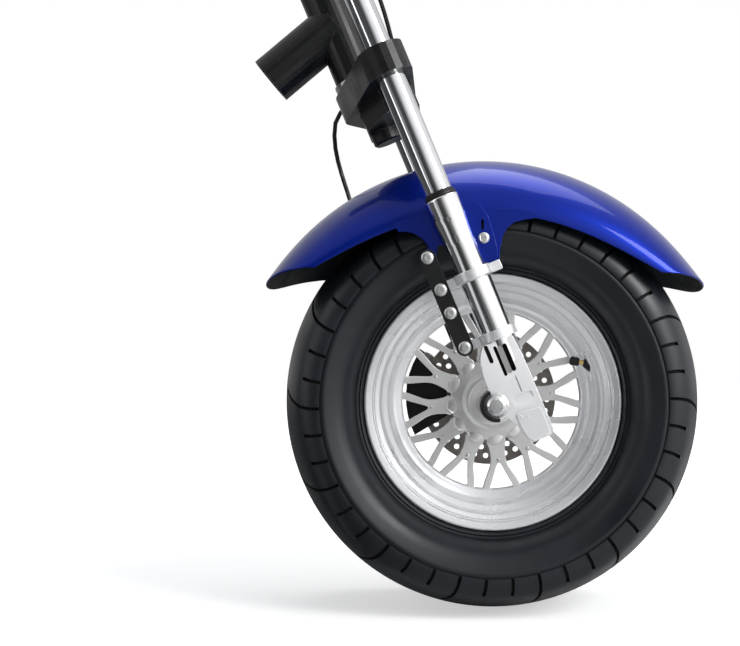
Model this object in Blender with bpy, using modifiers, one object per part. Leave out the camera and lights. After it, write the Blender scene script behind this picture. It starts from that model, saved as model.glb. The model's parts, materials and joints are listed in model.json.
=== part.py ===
# Front end of a fat-tyred electric motorcycle: steering head, telescopic fork with mudguard,
# cast wheel with drilled brake disc. Metres, +X forward, +Z up, origin at the head tube's centre.
# The bike's right side faces -Y. Every length is a real size.

import math

import bmesh
import bpy
from mathutils import Matrix, Vector

# Steering geometry
RAKE = math.radians(22.6)        # steering axis behind the vertical
YOKE_OFFSET = 0.0298             # steering axis to the plane of the fork legs
AXLE_LAG = 0.0298                # plane of the fork legs back to the axle
AXLE_DROP = 0.455                # head tube's centre down the steering axis to the axle
LEG_SPREAD = 0.260               # between the two leg axes

# Clearances
SEAT = 0.0003                    # between pieces that touch
PIN_GAP = 0.0003                 # all round a shaft in its hole

# Head tube and its bearings
HEAD_LENGTH = 0.130
HEAD_RADIUS = 0.025
HEAD_WALL = 0.0045
NECK_RADIUS = 0.027
NECK_WALL = 0.0035
NECK_REACH = 0.095               # steering axis to the cut end of the frame tube
NECK_SLOPE = math.radians(40.0)  # frame tube below the horizontal
CUP_HEIGHT = 0.010
CUP_LIP = 0.0025                 # cup beyond the head tube
CUP_SPIGOT = 0.008
RACE_GAP = 0.0006

# Yokes and stem
STEM_RADIUS = 0.0135
LOWER_YOKE_THICKNESS = 0.030
UPPER_YOKE_THICKNESS = 0.024
YOKE_BOSS_RADIUS = 0.031
YOKE_CLAMP_RADIUS = 0.024
YOKE_WINDOW_WALL = 0.010
SKIRT_DEPTH = 0.024              # middle of the lower yoke below its clamps
SKIRT_HALF_WIDTH = 0.092
SKIRT_FRONT_HALF_WIDTH = 0.074
SKIRT_REAR = -0.012
STOP_RADIUS = 0.017              # steering stop under the stem
STOP_LEAD = 0.006
STOP_DEPTH = 0.014
RISER_SPREAD = 0.096             # between the two seats for the handlebar's risers
RISER_RADIUS = 0.016
RISER_LEAD = 0.012               # steering axis forward to the seats
RISER_HEIGHT = 0.003
RISER_BOLT_RADIUS = 0.0052
NUT_ACROSS = 0.036
NUT_HEIGHT = 0.010

# Fork legs, heights above the axle along the leg
STANCHION_RADIUS = 0.014
STANCHION_FOOT = 0.150
SLIDER_TOP = 0.216
COLLAR_RADIUS = 0.0174
COLLAR_LENGTH = 0.024
SLIDER_NECK_RADIUS = 0.0155
BARREL_RADIUS = 0.0161
BARREL_FOOT = 0.030              # where the barrel gives way to the flat-sided foot
SLIDER_FOOT = -0.048
SEAL_RADIUS = 0.0166
SEAL_HEIGHT = 0.006
CAP_RADIUS = 0.0165
CAP_HEX_ACROSS = 0.022
CAP_FLANGE = 0.003
CAP_HEX_HEIGHT = 0.006
LUG_WIDTH = 0.030                # axle lug across the bike
LUG_RADIUS = 0.0145
LUG_TOP = 0.0605
FOOT_FRONT = 0.0145              # leg axis forward to the foot's front face
FOOT_REAR = 0.0115               # leg axis back to the foot's lower rear corner
FOOT_PAD_HEIGHT = 0.0015         # raised face of the foot
FLUTE_DEPTH = 0.004

# Clamps on the sliders, the link plates and the mudguard's ears
CLAMP_RADIUS = 0.0196
CLAMP_HEIGHT = 0.010
UPPER_CLAMP_LEVEL = 0.1315
LOWER_CLAMP_LEVEL = 0.0660
LINK_LAG = 0.0363                # leg axis back to the link plate's centre line
LINK_TOP = 0.1650
LINK_WIDTH = 0.0175
LINK_THICKNESS = 0.004
LINK_INSET = 0.002               # link plate's outer face inside the leg axis
CLAMP_LUG_WIDTH = 0.010
EAR_BOSS_RADIUS = 0.0065
FRONT_EAR_LEAD = 0.0257          # leg axis forward to the ear's bolt
FRONT_EAR_LEVEL = 0.1630
EAR_TIP_RADIUS = 0.0058
EAR_RADIUS = 0.0083
EAR_SLOT_RISE = 0.0135           # front ear's bolt up to the middle of the slot above it
EAR_SLOT_LENGTH = 0.0105
EAR_SLOT_WIDTH = 0.0028

# Axle
AXLE_RADIUS = 0.0075
AXLE_NUT_ACROSS = 0.022
AXLE_NUT_HEIGHT = 0.009
SPACER_RADIUS = 0.0125

# Tyre and rim
FLANGE_RADIUS = 0.139
TYRE_HEIGHT = 0.09075            # flange to tread
TYRE_WIDTH = 0.203
TYRE_STEPS = 42
TYRE_WALL = 0.009
BEAD_DEPTH = 0.0115              # bead seat below the flange
WELL_DEPTH = 0.0208
RIM_WIDTH = 0.119
RIM_STEPS = 40
RIM_DISH = 0.0392                # flange in to the ring that the spokes run into
SPOKE_THICKNESS = 0.013
ARM_COUNT = 12
ARM_PHASE = 22.0                 # degrees from +X to a window between two arms
HUB_RADIUS = 0.0265
HUB_BOSS_RADIUS = 0.046
HUB_BOSS_THICKNESS = 0.026
HUB_RIGHT_END = 0.050
LOBE_RADIUS = 0.0098             # round lobe of the hub at each arm's root
LOBE_HEIGHT = 0.0085
LOBE_OUT = 0.0405
HUB_BORE_GAP = 0.0005

# Brake
DISC_RADIUS = 0.080
DISC_BORE = 0.0235
DISC_THICKNESS = 0.004
DISC_OFFSET = 0.082              # wheel's middle to the disc's middle
DISC_SEAT_RADIUS = 0.034
DISC_HOLE_RADIUS = 0.0032
CALIPER_INNER = 0.050
CALIPER_OUTER = 0.098
CALIPER_SWEEP = 29.0             # degrees either side of the caliper's middle
CALIPER_ANGLE = 178.0
CALIPER_INBOARD = 0.014          # caliper's depth on the wheel's side of the disc's middle
CALIPER_SLOT = 0.009
BRACKET_THICKNESS = 0.006
HOSE_RADIUS = 0.0026
HOSE_STEP = 0.014
BANJO_RADIUS = 0.007
BANJO_HEIGHT = 0.009
UNION_RADIUS = 0.0062
UNION_LENGTH = 0.022
CLIP_RADIUS = 0.006
CLIP_LENGTH = 0.008
CLIP_GAP = 0.0009

# Mudguard
GUARD_RISE = 0.04785             # tread to the guard's ridge
GUARD_CENTRE = (-0.009, -0.011)  # from the axle, forward and up
GUARD_WALL = 0.0026
GUARD_INSET = 0.0207             # leg axis in to the guard's side
GUARD_SIDE = 0.071               # depth of the side beside the fork
GUARD_TIP_SIDE = 0.018
GUARD_FADE = 17.0                # degrees over which the side deepens from each tip
GUARD_FRONT = 26.9
GUARD_REAR = 154.0
GUARD_STATIONS = 30
GUARD_ROWS = 6
GUARD_SQUARENESS = 2.5

# Valve
VALVE_RADIUS = 0.0042
VALVE_LENGTH = 0.030
VALVE_PLANE = 0.024              # in front of the wheel's middle

# Sizes that follow from those above
TYRE_RADIUS = FLANGE_RADIUS + TYRE_HEIGHT
BEAD_RADIUS = FLANGE_RADIUS - BEAD_DEPTH
WELL_RADIUS = FLANGE_RADIUS - WELL_DEPTH
RIM_RING_RADIUS = FLANGE_RADIUS - RIM_DISH
GUARD_RADIUS = TYRE_RADIUS + GUARD_RISE
GUARD_HALF_WIDTH = LEG_SPREAD / 2 - GUARD_INSET

MM = 0.001
ROUND_STEPS = 20                 # sides of the fork's round pieces


def clear_scene():
    for item in list(bpy.data.objects):
        bpy.data.objects.remove(item, do_unlink=True)


def make_collection(name):
    collection = bpy.data.collections.new(name)
    bpy.context.scene.collection.children.link(collection)
    return collection


clear_scene()
PARTS = make_collection("front_end")
CUTTERS = make_collection("cutters")


def finish(name, colour, roughness, metallic):
    surface = bpy.data.materials.new(name)
    surface.use_nodes = True
    shader = surface.node_tree.nodes["Principled BSDF"]
    shader.inputs["Base Color"].default_value = (*colour, 1.0)
    shader.inputs["Roughness"].default_value = roughness
    shader.inputs["Metallic"].default_value = metallic
    return surface


BLACK_PAINT = finish("black_paint", (0.02, 0.02, 0.022), 0.4, 0.0)
BLUE_PAINT = finish("blue_paint", (0.02, 0.04, 0.45), 0.15, 0.0)
CHROME = finish("hard_chrome", (0.75, 0.76, 0.78), 0.08, 1.0)
CAST_ALLOY = finish("cast_alloy", (0.72, 0.72, 0.73), 0.3, 1.0)
POLISHED_ALLOY = finish("polished_alloy", (0.82, 0.82, 0.83), 0.18, 1.0)
BARE_STEEL = finish("bare_steel", (0.45, 0.42, 0.39), 0.35, 1.0)
ZINC_STEEL = finish("zinc_steel", (0.6, 0.6, 0.6), 0.35, 1.0)
TYRE_RUBBER = finish("tyre_rubber", (0.02, 0.024, 0.028), 0.75, 0.0)
SOFT_RUBBER = finish("soft_rubber", (0.015, 0.015, 0.015), 0.6, 0.0)


def guide(name, parent=None, location=(0, 0, 0), rotation=(0, 0, 0)):
    empty = bpy.data.objects.new(name, None)
    PARTS.objects.link(empty)
    empty.parent = parent
    empty.location = location
    empty.rotation_euler = rotation
    return empty


def place(piece, parent, location=(0, 0, 0), rotation=(0, 0, 0)):
    piece.parent = parent
    piece.location = location
    piece.rotation_euler = rotation


def as_cutter(piece):
    for collection in list(piece.users_collection):
        collection.objects.unlink(piece)
    CUTTERS.objects.link(piece)
    piece.hide_render = True
    piece.display_type = "WIRE"
    return piece


def set_finish(piece, surface):
    piece.data.materials.clear()
    piece.data.materials.append(surface)


def smooth(piece, degrees=35.0):
    piece.data.shade_smooth()
    piece.data.set_sharp_from_angle(angle=math.radians(degrees))


def turned(name, profile, surface, steps, closed=False):
    """A Screw around local Z of (radius, height) points that run down the outer side."""
    mesh = bpy.data.meshes.new(name)
    points = [(radius, 0.0, height) for radius, height in profile]
    edges = [(i, i + 1) for i in range(len(points) - 1)]
    if closed:
        edges.append((len(points) - 1, 0))
    mesh.from_pydata(points, edges, [])
    piece = bpy.data.objects.new(name, mesh)
    PARTS.objects.link(piece)
    screw = piece.modifiers.new("turn", "SCREW")
    screw.axis = "Z"
    screw.angle = math.tau
    screw.steps = steps
    screw.render_steps = steps
    screw.use_merge_vertices = True
    screw.merge_threshold = 0.00001
    set_finish(piece, surface)
    return piece


def ring_profile(inner, outer, bottom, top):
    return [(outer, top), (outer, bottom), (inner, bottom), (inner, top)]


def rod_profile(radius, bottom, top, chamfer=0.0):
    if chamfer == 0.0:
        return [(0.0, top), (radius, top), (radius, bottom), (0.0, bottom)]
    return [
        (0.0, top),
        (radius - chamfer, top),
        (radius, top - chamfer),
        (radius, bottom + chamfer),
        (radius - chamfer, bottom),
        (0.0, bottom),
    ]


def arc(centre, radius, start, end, count):
    """Points on an arc, in degrees, both ends included."""
    angles = [math.radians(start + (end - start) * i / (count - 1)) for i in range(count)]
    return [(centre[0] + radius * math.cos(a), centre[1] + radius * math.sin(a)) for a in angles]


def circle(centre, radius, count):
    return arc(centre, radius, 0.0, 360.0, count + 1)[:-1]


def hull(points):
    """The convex outline round a set of flat points."""
    ordered = sorted(set(points))

    def chain(items):
        line = []
        for point in items:
            while len(line) > 1:
                a, b = line[-2], line[-1]
                turn = (b[0] - a[0]) * (point[1] - a[1]) - (b[1] - a[1]) * (point[0] - a[0])
                if turn > 0:
                    break
                line.pop()
            line.append(point)
        return line[:-1]

    return chain(ordered) + chain(ordered[::-1])


def plate(name, outlines, bottom, top, surface):
    """A flat outline with holes in local XY, standing from bottom to top along local Z."""
    flat = bpy.data.curves.new(name, "CURVE")
    flat.dimensions = "2D"
    flat.fill_mode = "BOTH"
    flat.extrude = (top - bottom) / 2
    for outline in outlines:
        spline = flat.splines.new("POLY")
        spline.points.add(len(outline) - 1)
        for point, (x, y) in zip(spline.points, outline):
            point.co = (x, y, 0.0, 1.0)
        spline.use_cyclic_u = True
    drawn = bpy.data.objects.new(name + "_outline", flat)
    PARTS.objects.link(drawn)
    piece = as_mesh(drawn, name)
    piece.data.transform(Matrix.Translation((0.0, 0.0, (top + bottom) / 2)))
    set_finish(piece, surface)
    return piece


def as_mesh(drawn, name):
    """The mesh of a curve object, with its caps welded, in the curve's place."""
    evaluated = drawn.evaluated_get(bpy.context.evaluated_depsgraph_get())
    mesh = bpy.data.meshes.new_from_object(evaluated)
    mesh.name = name
    shape = bmesh.new()
    shape.from_mesh(mesh)
    bmesh.ops.remove_doubles(shape, verts=shape.verts, dist=0.000001)
    bmesh.ops.recalc_face_normals(shape, faces=shape.faces)
    shape.to_mesh(mesh)
    shape.free()
    piece = bpy.data.objects.new(name, mesh)
    PARTS.objects.link(piece)
    piece.matrix_world = drawn.matrix_world
    bpy.data.objects.remove(drawn, do_unlink=True)
    return piece


def combine(piece, other, operation):
    step = piece.modifiers.new(operation.lower(), "BOOLEAN")
    step.operation = operation
    step.solver = "EXACT"
    step.object = as_cutter(other)


def cut(piece, other):
    combine(piece, other, "DIFFERENCE")


def join(piece, other):
    combine(piece, other, "UNION")


def hexagon(across, turn=0.0):
    radius = across / math.sqrt(3)
    return [
        (radius * math.cos(math.radians(60 * i + turn)), radius * math.sin(math.radians(60 * i + turn)))
        for i in range(6)
    ]


def smooth_route(points, step):
    """A Catmull-Rom curve through the route's points, read at about the given step."""
    ends = [points[0] * 2 - points[1]] + points + [points[-1] * 2 - points[-2]]
    line = []
    for before, start, end, after in zip(ends, ends[1:], ends[2:], ends[3:]):
        count = max(2, round((end - start).length / step))
        for i in range(count):
            f = i / count
            line.append(
                0.5
                * (
                    2 * start
                    + (end - before) * f
                    + (2 * before - 5 * start + 4 * end - after) * f**2
                    + (3 * start - before - 3 * end + after) * f**3
                )
            )
    line.append(points[-1])
    return line


# Frames that the pieces hang on
LEG_Y = {"right": -LEG_SPREAD / 2, "left": LEG_SPREAD / 2}
INWARD = {"right": 1.0, "left": -1.0}
AXLE_X = YOKE_OFFSET - AXLE_LAG
AXLE_AT = (AXLE_X, 0.0, -AXLE_DROP)

frame_axis = guide("frame_axis", rotation=(0, -RAKE, 0))
steer_axis = guide("steer_axis", rotation=(0, -RAKE, 0))
legs = {
    side: guide("leg_" + side, steer_axis, (YOKE_OFFSET, LEG_Y[side], -AXLE_DROP))
    for side in LEG_Y
}
# Side views seen from the bike's right: local X forward, Y up, Z towards the right
fork_side = guide("fork_side", steer_axis, AXLE_AT, (math.pi / 2, 0, 0))
road_side = guide("road_side", steer_axis, AXLE_AT, (math.pi / 2, RAKE, 0))
wheel_axis = guide("wheel_axis", steer_axis, AXLE_AT, (math.pi / 2, RAKE, 0))

HEAD_TOP = HEAD_LENGTH / 2
HEAD_FOOT = -HEAD_LENGTH / 2
UPPER_YOKE_FOOT = HEAD_TOP + CUP_HEIGHT + RACE_GAP
UPPER_YOKE_TOP = UPPER_YOKE_FOOT + UPPER_YOKE_THICKNESS
LOWER_YOKE_TOP = HEAD_FOOT - CUP_HEIGHT - RACE_GAP
LOWER_YOKE_FOOT = LOWER_YOKE_TOP - LOWER_YOKE_THICKNESS
STANCHION_TOP = UPPER_YOKE_TOP + AXLE_DROP
# The upper clamp sits on the shoulder of the slider's barrel
BARREL_TOP = UPPER_CLAMP_LEVEL - CLAMP_HEIGHT / 2 - SEAT


def build_steering_head():
    head = turned("head_tube", rod_profile(HEAD_RADIUS, HEAD_FOOT, HEAD_TOP), BLACK_PAINT, 32)
    place(head, frame_axis)
    neck = turned("neck", rod_profile(NECK_RADIUS, 0.0, NECK_REACH), BLACK_PAINT, 32)
    # The frame tube points back and down
    place(neck, None, rotation=(0, -math.pi / 2 - NECK_SLOPE, 0))
    join(head, neck)
    bore = turned("head_bore", rod_profile(HEAD_RADIUS - HEAD_WALL, -HEAD_LENGTH, HEAD_LENGTH), BLACK_PAINT, 32)
    place(bore, frame_axis)
    cut(head, bore)
    hollow = turned(
        "neck_bore",
        rod_profile(NECK_RADIUS - NECK_WALL, HEAD_RADIUS + NECK_WALL, NECK_REACH * 2),
        BLACK_PAINT,
        32,
    )
    place(hollow, None, rotation=(0, -math.pi / 2 - NECK_SLOPE, 0))
    cut(head, hollow)
    smooth(head)

    bore_radius = STEM_RADIUS + PIN_GAP
    spigot_radius = HEAD_RADIUS - HEAD_WALL - SEAT
    lip_radius = HEAD_RADIUS + CUP_LIP
    for name, seat, way in (("bearing_cup_upper", HEAD_TOP, 1), ("bearing_cup_lower", HEAD_FOOT, -1)):
        outline = [
            (bore_radius, seat + way * CUP_HEIGHT),
            (lip_radius - CUP_LIP, seat + way * CUP_HEIGHT),
            (lip_radius, seat + way * (CUP_HEIGHT - CUP_LIP)),
            (lip_radius, seat + way * SEAT),
            (spigot_radius, seat + way * SEAT),
            (spigot_radius, seat - way * CUP_SPIGOT),
            (bore_radius, seat - way * CUP_SPIGOT),
        ]
        cup = turned(name, outline if way > 0 else outline[::-1], ZINC_STEEL, 24, closed=True)
        place(cup, frame_axis)
        smooth(cup)


def yoke_outline():
    boss = circle((0.0, 0.0), YOKE_BOSS_RADIUS, 20)
    clamps = [
        point for y in LEG_Y.values() for point in circle((YOKE_OFFSET, y), YOKE_CLAMP_RADIUS, 20)
    ]
    return hull(boss + clamps)


def yoke_windows():
    """Lightening windows between the centre boss and each clamp."""
    windows = []
    for y in LEG_Y.values():
        way = math.copysign(1.0, y)
        near = RISER_SPREAD / 2 + RISER_RADIUS + YOKE_WINDOW_WALL * 0.4
        far = abs(y) - YOKE_CLAMP_RADIUS - YOKE_WINDOW_WALL / 2
        front = YOKE_OFFSET + YOKE_CLAMP_RADIUS - YOKE_WINDOW_WALL
        rear_near = -YOKE_BOSS_RADIUS * 0.35
        rear_far = YOKE_OFFSET - YOKE_CLAMP_RADIUS + YOKE_WINDOW_WALL
        corners = [(front, near), (front, far), (rear_far, far), (rear_near, near)]
        windows.append([(x, way * across) for x, across in corners])
    return windows


def skirt_outline():
    """The lower yoke's deeper middle, wide at the back and narrower in front, between the legs."""
    front = YOKE_OFFSET + YOKE_CLAMP_RADIUS - 4 * MM
    waist = YOKE_OFFSET - YOKE_CLAMP_RADIUS
    half = [
        (front, SKIRT_FRONT_HALF_WIDTH * 0.86),
        (front - 5 * MM, SKIRT_FRONT_HALF_WIDTH),
        (YOKE_OFFSET, SKIRT_HALF_WIDTH),
        (waist + 8 * MM, SKIRT_HALF_WIDTH),
        (SKIRT_REAR, SKIRT_FRONT_HALF_WIDTH * 0.5),
    ]
    return half + [(x, -y) for x, y in half[::-1]]


def build_yokes():
    hole = [circle((0.0, 0.0), STEM_RADIUS + PIN_GAP, ROUND_STEPS)]
    leg_holes = [circle((YOKE_OFFSET, y), STANCHION_RADIUS + PIN_GAP, ROUND_STEPS) for y in LEG_Y.values()]
    lower = plate("lower_yoke", [yoke_outline()] + hole + leg_holes, LOWER_YOKE_FOOT, LOWER_YOKE_TOP, BLACK_PAINT)
    place(lower, steer_axis)
    skirt = plate("yoke_skirt", [skirt_outline()], LOWER_YOKE_FOOT - SKIRT_DEPTH, LOWER_YOKE_FOOT + MM, BLACK_PAINT)
    place(skirt, steer_axis)
    join(lower, skirt)
    stop_foot = LOWER_YOKE_FOOT - SKIRT_DEPTH - STOP_DEPTH
    stop = turned("steering_stop", rod_profile(STOP_RADIUS, stop_foot, LOWER_YOKE_FOOT, MM * 2), BLACK_PAINT, 24)
    place(stop, steer_axis, (STOP_LEAD, 0.0, 0.0))
    join(lower, stop)
    smooth(lower)
    upper = plate(
        "upper_yoke",
        [yoke_outline()] + hole + leg_holes + yoke_windows(),
        UPPER_YOKE_FOOT,
        UPPER_YOKE_TOP,
        BLACK_PAINT,
    )
    place(upper, steer_axis)
    for way in INWARD.values():
        seat = (RISER_LEAD, way * RISER_SPREAD / 2, 0.0)
        pad = turned(
            "riser_pad",
            rod_profile(RISER_RADIUS, UPPER_YOKE_TOP - RISER_HEIGHT, UPPER_YOKE_TOP + RISER_HEIGHT),
            BLACK_PAINT,
            24,
        )
        place(pad, steer_axis, seat)
        join(upper, pad)
        hole = turned(
            "riser_bolt_hole",
            rod_profile(RISER_BOLT_RADIUS, UPPER_YOKE_FOOT - RISER_HEIGHT, UPPER_YOKE_TOP + RISER_HEIGHT * 2),
            BLACK_PAINT,
            16,
        )
        place(hole, steer_axis, seat)
        cut(upper, hole)
    smooth(upper)
    stem_top = UPPER_YOKE_TOP + NUT_HEIGHT - SEAT
    stem_foot = LOWER_YOKE_FOOT + MM + SEAT
    stem = turned("steering_stem", rod_profile(STEM_RADIUS, stem_foot, stem_top, MM), ZINC_STEEL, ROUND_STEPS)
    place(stem, steer_axis)
    smooth(stem)
    nut = plate(
        "stem_nut",
        [hexagon(NUT_ACROSS), circle((0.0, 0.0), STEM_RADIUS + PIN_GAP, ROUND_STEPS)],
        UPPER_YOKE_TOP + SEAT,
        UPPER_YOKE_TOP + SEAT + NUT_HEIGHT,
        ZINC_STEEL,
    )
    place(nut, steer_axis)


def foot_outline():
    """The slider's foot seen from the side: an eye for the axle and a block under the leg."""
    front = AXLE_LAG + FOOT_FRONT
    rear = AXLE_LAG - FOOT_REAR
    outline = arc((0.0, 0.0), LUG_RADIUS, 100.0, 290.0, 16)
    outline += [(rear * 0.61, SLIDER_FOOT * 0.52), (rear - MM, SLIDER_FOOT + 2 * MM), (rear + 2 * MM, SLIDER_FOOT)]
    outline += [(front - 4 * MM, SLIDER_FOOT), (front, SLIDER_FOOT + 4 * MM), (front, BARREL_FOOT)]
    outline += [(front - 2 * MM, LUG_TOP), (AXLE_LAG - BARREL_RADIUS - 4 * MM, LUG_TOP)]
    outline += [(LUG_RADIUS * 0.2, LUG_TOP * 0.83), (-MM, LUG_TOP * 0.53), (-MM, LUG_TOP * 0.35)]
    return outline


def foot_pad_outline():
    """The raised face at the foot's lower end."""
    front = AXLE_LAG + FOOT_FRONT - 4 * MM
    rear = AXLE_LAG - FOOT_REAR
    return [
        (rear - 3 * MM, SLIDER_FOOT * 0.31),
        (rear - 3.5 * MM, SLIDER_FOOT * 0.62),
        (rear, SLIDER_FOOT + 4 * MM),
        (rear + 3 * MM, SLIDER_FOOT + 2 * MM),
        (front - 3 * MM, SLIDER_FOOT + 2 * MM),
        (front, SLIDER_FOOT + 5 * MM),
        (front, SLIDER_FOOT * 0.42),
    ]


def foot_flutes():
    """The grooves down the foot's outer face below the lower clamp: centre, top, bottom and width."""
    flutes = [
        (AXLE_LAG - 0.0172, 0.0600, 0.0410, 0.0042),
        (AXLE_LAG - 0.0089, 0.0560, 0.0240, 0.0034),
        (AXLE_LAG + 0.0008, 0.0550, 0.0255, 0.0046),
    ]
    outlines = []
    for middle, top, bottom, width in flutes:
        half = width / 2
        outline = arc((middle, top - half), half, 0.0, 180.0, 6)
        outlines.append(outline + arc((middle, bottom + half), half, 180.0, 360.0, 6))
    return outlines


def build_leg(side):
    leg = legs[side]
    stanchion = turned(
        "stanchion_" + side, rod_profile(STANCHION_RADIUS, STANCHION_FOOT + SEAT, STANCHION_TOP, MM), CHROME, ROUND_STEPS
    )
    place(stanchion, leg)
    smooth(stanchion)

    cap = turned(
        "fork_cap_" + side,
        rod_profile(CAP_RADIUS, STANCHION_TOP + SEAT, STANCHION_TOP + SEAT + CAP_FLANGE, MM / 2),
        ZINC_STEEL,
        ROUND_STEPS,
    )
    head = plate(
        "cap_head_" + side,
        [hexagon(CAP_HEX_ACROSS)],
        STANCHION_TOP + CAP_FLANGE / 2,
        STANCHION_TOP + CAP_FLANGE + CAP_HEX_HEIGHT,
        ZINC_STEEL,
    )
    place(cap, leg)
    place(head, leg)
    join(cap, head)
    smooth(cap)

    bore = STANCHION_RADIUS + PIN_GAP
    seal = turned(
        "dust_seal_" + side,
        [
            (bore, SLIDER_TOP + SEAT + SEAL_HEIGHT),
            (bore + MM / 2, SLIDER_TOP + SEAT + SEAL_HEIGHT),
            (SEAL_RADIUS, SLIDER_TOP + SEAT + SEAL_HEIGHT / 2),
            (SEAL_RADIUS, SLIDER_TOP + SEAT),
            (bore, SLIDER_TOP + SEAT),
        ],
        SOFT_RUBBER,
        ROUND_STEPS,
        closed=True,
    )
    place(seal, leg)
    smooth(seal)

    slider = turned(
        "slider_" + side,
        [
            (0.0, STANCHION_FOOT),
            (bore, STANCHION_FOOT),
            (bore, SLIDER_TOP),
            (COLLAR_RADIUS - MM, SLIDER_TOP),
            (COLLAR_RADIUS, SLIDER_TOP - MM),
            (COLLAR_RADIUS, SLIDER_TOP - COLLAR_LENGTH),
            (SLIDER_NECK_RADIUS, SLIDER_TOP - COLLAR_LENGTH * 2),
            (SLIDER_NECK_RADIUS, BARREL_TOP),
            (BARREL_RADIUS, BARREL_TOP - MM),
            (BARREL_RADIUS, BARREL_FOOT + MM * 4),
            (BARREL_RADIUS - MM * 4, BARREL_FOOT),
            (0.0, BARREL_FOOT),
        ],
        CAST_ALLOY,
        ROUND_STEPS,
    )
    place(slider, leg)
    lug = plate(
        "axle_lug_" + side,
        [foot_outline()],
        -LUG_WIDTH / 2 - LEG_Y[side],
        LUG_WIDTH / 2 - LEG_Y[side],
        CAST_ALLOY,
    )
    place(lug, fork_side)
    join(slider, lug)
    face = -LEG_Y[side] + INWARD[side] * LUG_WIDTH / 2
    low, high = sorted((face - INWARD[side] * MM, face + INWARD[side] * FOOT_PAD_HEIGHT))
    pad = plate("foot_pad_" + side, [foot_pad_outline()], low, high, CAST_ALLOY)
    place(pad, fork_side)
    join(slider, pad)
    low, high = sorted((face - INWARD[side] * FLUTE_DEPTH, face + INWARD[side] * FLUTE_DEPTH))
    for number, outline in enumerate(foot_flutes()):
        flute = plate("flute_" + str(number) + "_" + side, [outline], low, high, CAST_ALLOY)
        place(flute, fork_side)
        cut(slider, flute)
    hole = turned("axle_hole_" + side, rod_profile(AXLE_RADIUS + PIN_GAP, -LUG_WIDTH, LUG_WIDTH), CAST_ALLOY, 24)
    place(hole, fork_side, (0.0, 0.0, -LEG_Y[side]))
    cut(slider, hole)
    smooth(slider)


def clamp_outline(side, with_front_lug):
    """The clamp seen along the leg: a ring with a rear lug and, on the upper one, a front lug."""
    inward = INWARD[side]
    link_face = LINK_INSET + LINK_THICKNESS + SEAT
    lug_near = link_face
    lug_far = link_face + CLAMP_LUG_WIDTH
    lug_back = -LINK_LAG - LINK_WIDTH * 0.4
    start = math.degrees(math.asin(lug_near / CLAMP_RADIUS))
    end = math.degrees(math.asin(lug_far / CLAMP_RADIUS))
    outline = [(lug_back, lug_far), (lug_back, lug_near)]
    ear_face = LEG_SPREAD / 2 - GUARD_HALF_WIDTH - SEAT
    if with_front_lug:
        front_near = math.degrees(math.asin((ear_face - CLAMP_LUG_WIDTH) / CLAMP_RADIUS))
        outline += arc((0.0, 0.0), CLAMP_RADIUS, 180.0 - start, 360.0 + front_near, 20)
        front = FRONT_EAR_LEAD + EAR_TIP_RADIUS
        outline += [(front, ear_face - CLAMP_LUG_WIDTH), (front, ear_face)]
        outline += arc((0.0, 0.0), CLAMP_RADIUS, 90.0, 180.0 - end, 4)
    else:
        outline += arc((0.0, 0.0), CLAMP_RADIUS, 180.0 - start, 540.0 - end, 26)
    return [(x, inward * y) for x, y in outline]


def build_clamps(side):
    hole = circle((0.0, 0.0), BARREL_RADIUS + PIN_GAP, ROUND_STEPS)
    for name, level, front in (("upper", UPPER_CLAMP_LEVEL, True), ("lower", LOWER_CLAMP_LEVEL, False)):
        inner = hole
        if front:
            inner = circle((0.0, 0.0), SLIDER_NECK_RADIUS + PIN_GAP, ROUND_STEPS)
        clamp = plate(
            "clamp_" + name + "_" + side,
            [clamp_outline(side, front), inner],
            level - CLAMP_HEIGHT / 2,
            level + CLAMP_HEIGHT / 2,
            POLISHED_ALLOY,
        )
        place(clamp, legs[side])
        smooth(clamp)


def build_link(side):
    """The plate down the back of the leg, bolted to both clamps and, through a boss, to the guard."""
    inward = INWARD[side]
    x = AXLE_LAG - LINK_LAG
    outline = arc((x, LINK_TOP), LINK_WIDTH / 2, 0.0, 180.0, 9)
    outline += arc((x, LOWER_CLAMP_LEVEL), LINK_WIDTH / 2, 180.0, 360.0, 9)
    outer = LEG_SPREAD / 2 - LINK_INSET
    low, high = sorted((inward * outer, inward * (outer - LINK_THICKNESS)))
    link = plate("link_plate_" + side, [outline], low, high, BLACK_PAINT)
    place(link, fork_side)
    low, high = sorted((inward * (outer - LINK_THICKNESS / 2), inward * (GUARD_HALF_WIDTH + SEAT)))
    boss = turned("link_boss_" + side, rod_profile(EAR_BOSS_RADIUS, low, high), BLACK_PAINT, 20)
    place(boss, fork_side, (x, LINK_TOP, 0.0))
    join(link, boss)
    smooth(link)


def guard_radius(degrees):
    """Distance from the axle to the guard's ridge."""
    a = math.radians(degrees)
    along = GUARD_CENTRE[0] * math.cos(a) + GUARD_CENTRE[1] * math.sin(a)
    across = GUARD_CENTRE[0] * math.sin(a) - GUARD_CENTRE[1] * math.cos(a)
    return along + math.sqrt(GUARD_RADIUS**2 - across**2)


def guard_side(degrees):
    """Depth of the guard's side, from its ridge to its lower edge."""
    from_tip = min(degrees - GUARD_FRONT, GUARD_REAR - degrees)
    return GUARD_TIP_SIDE + (GUARD_SIDE - GUARD_TIP_SIDE) * (1 - math.exp(-from_tip / GUARD_FADE))


def guard_point(degrees, turn):
    power = 2 / GUARD_SQUARENESS
    depth = guard_side(degrees)
    radius = guard_radius(degrees) - depth + depth * math.cos(turn) ** power
    a = math.radians(degrees)
    return (radius * math.cos(a), radius * math.sin(a), GUARD_HALF_WIDTH * math.sin(turn) ** power)


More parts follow.
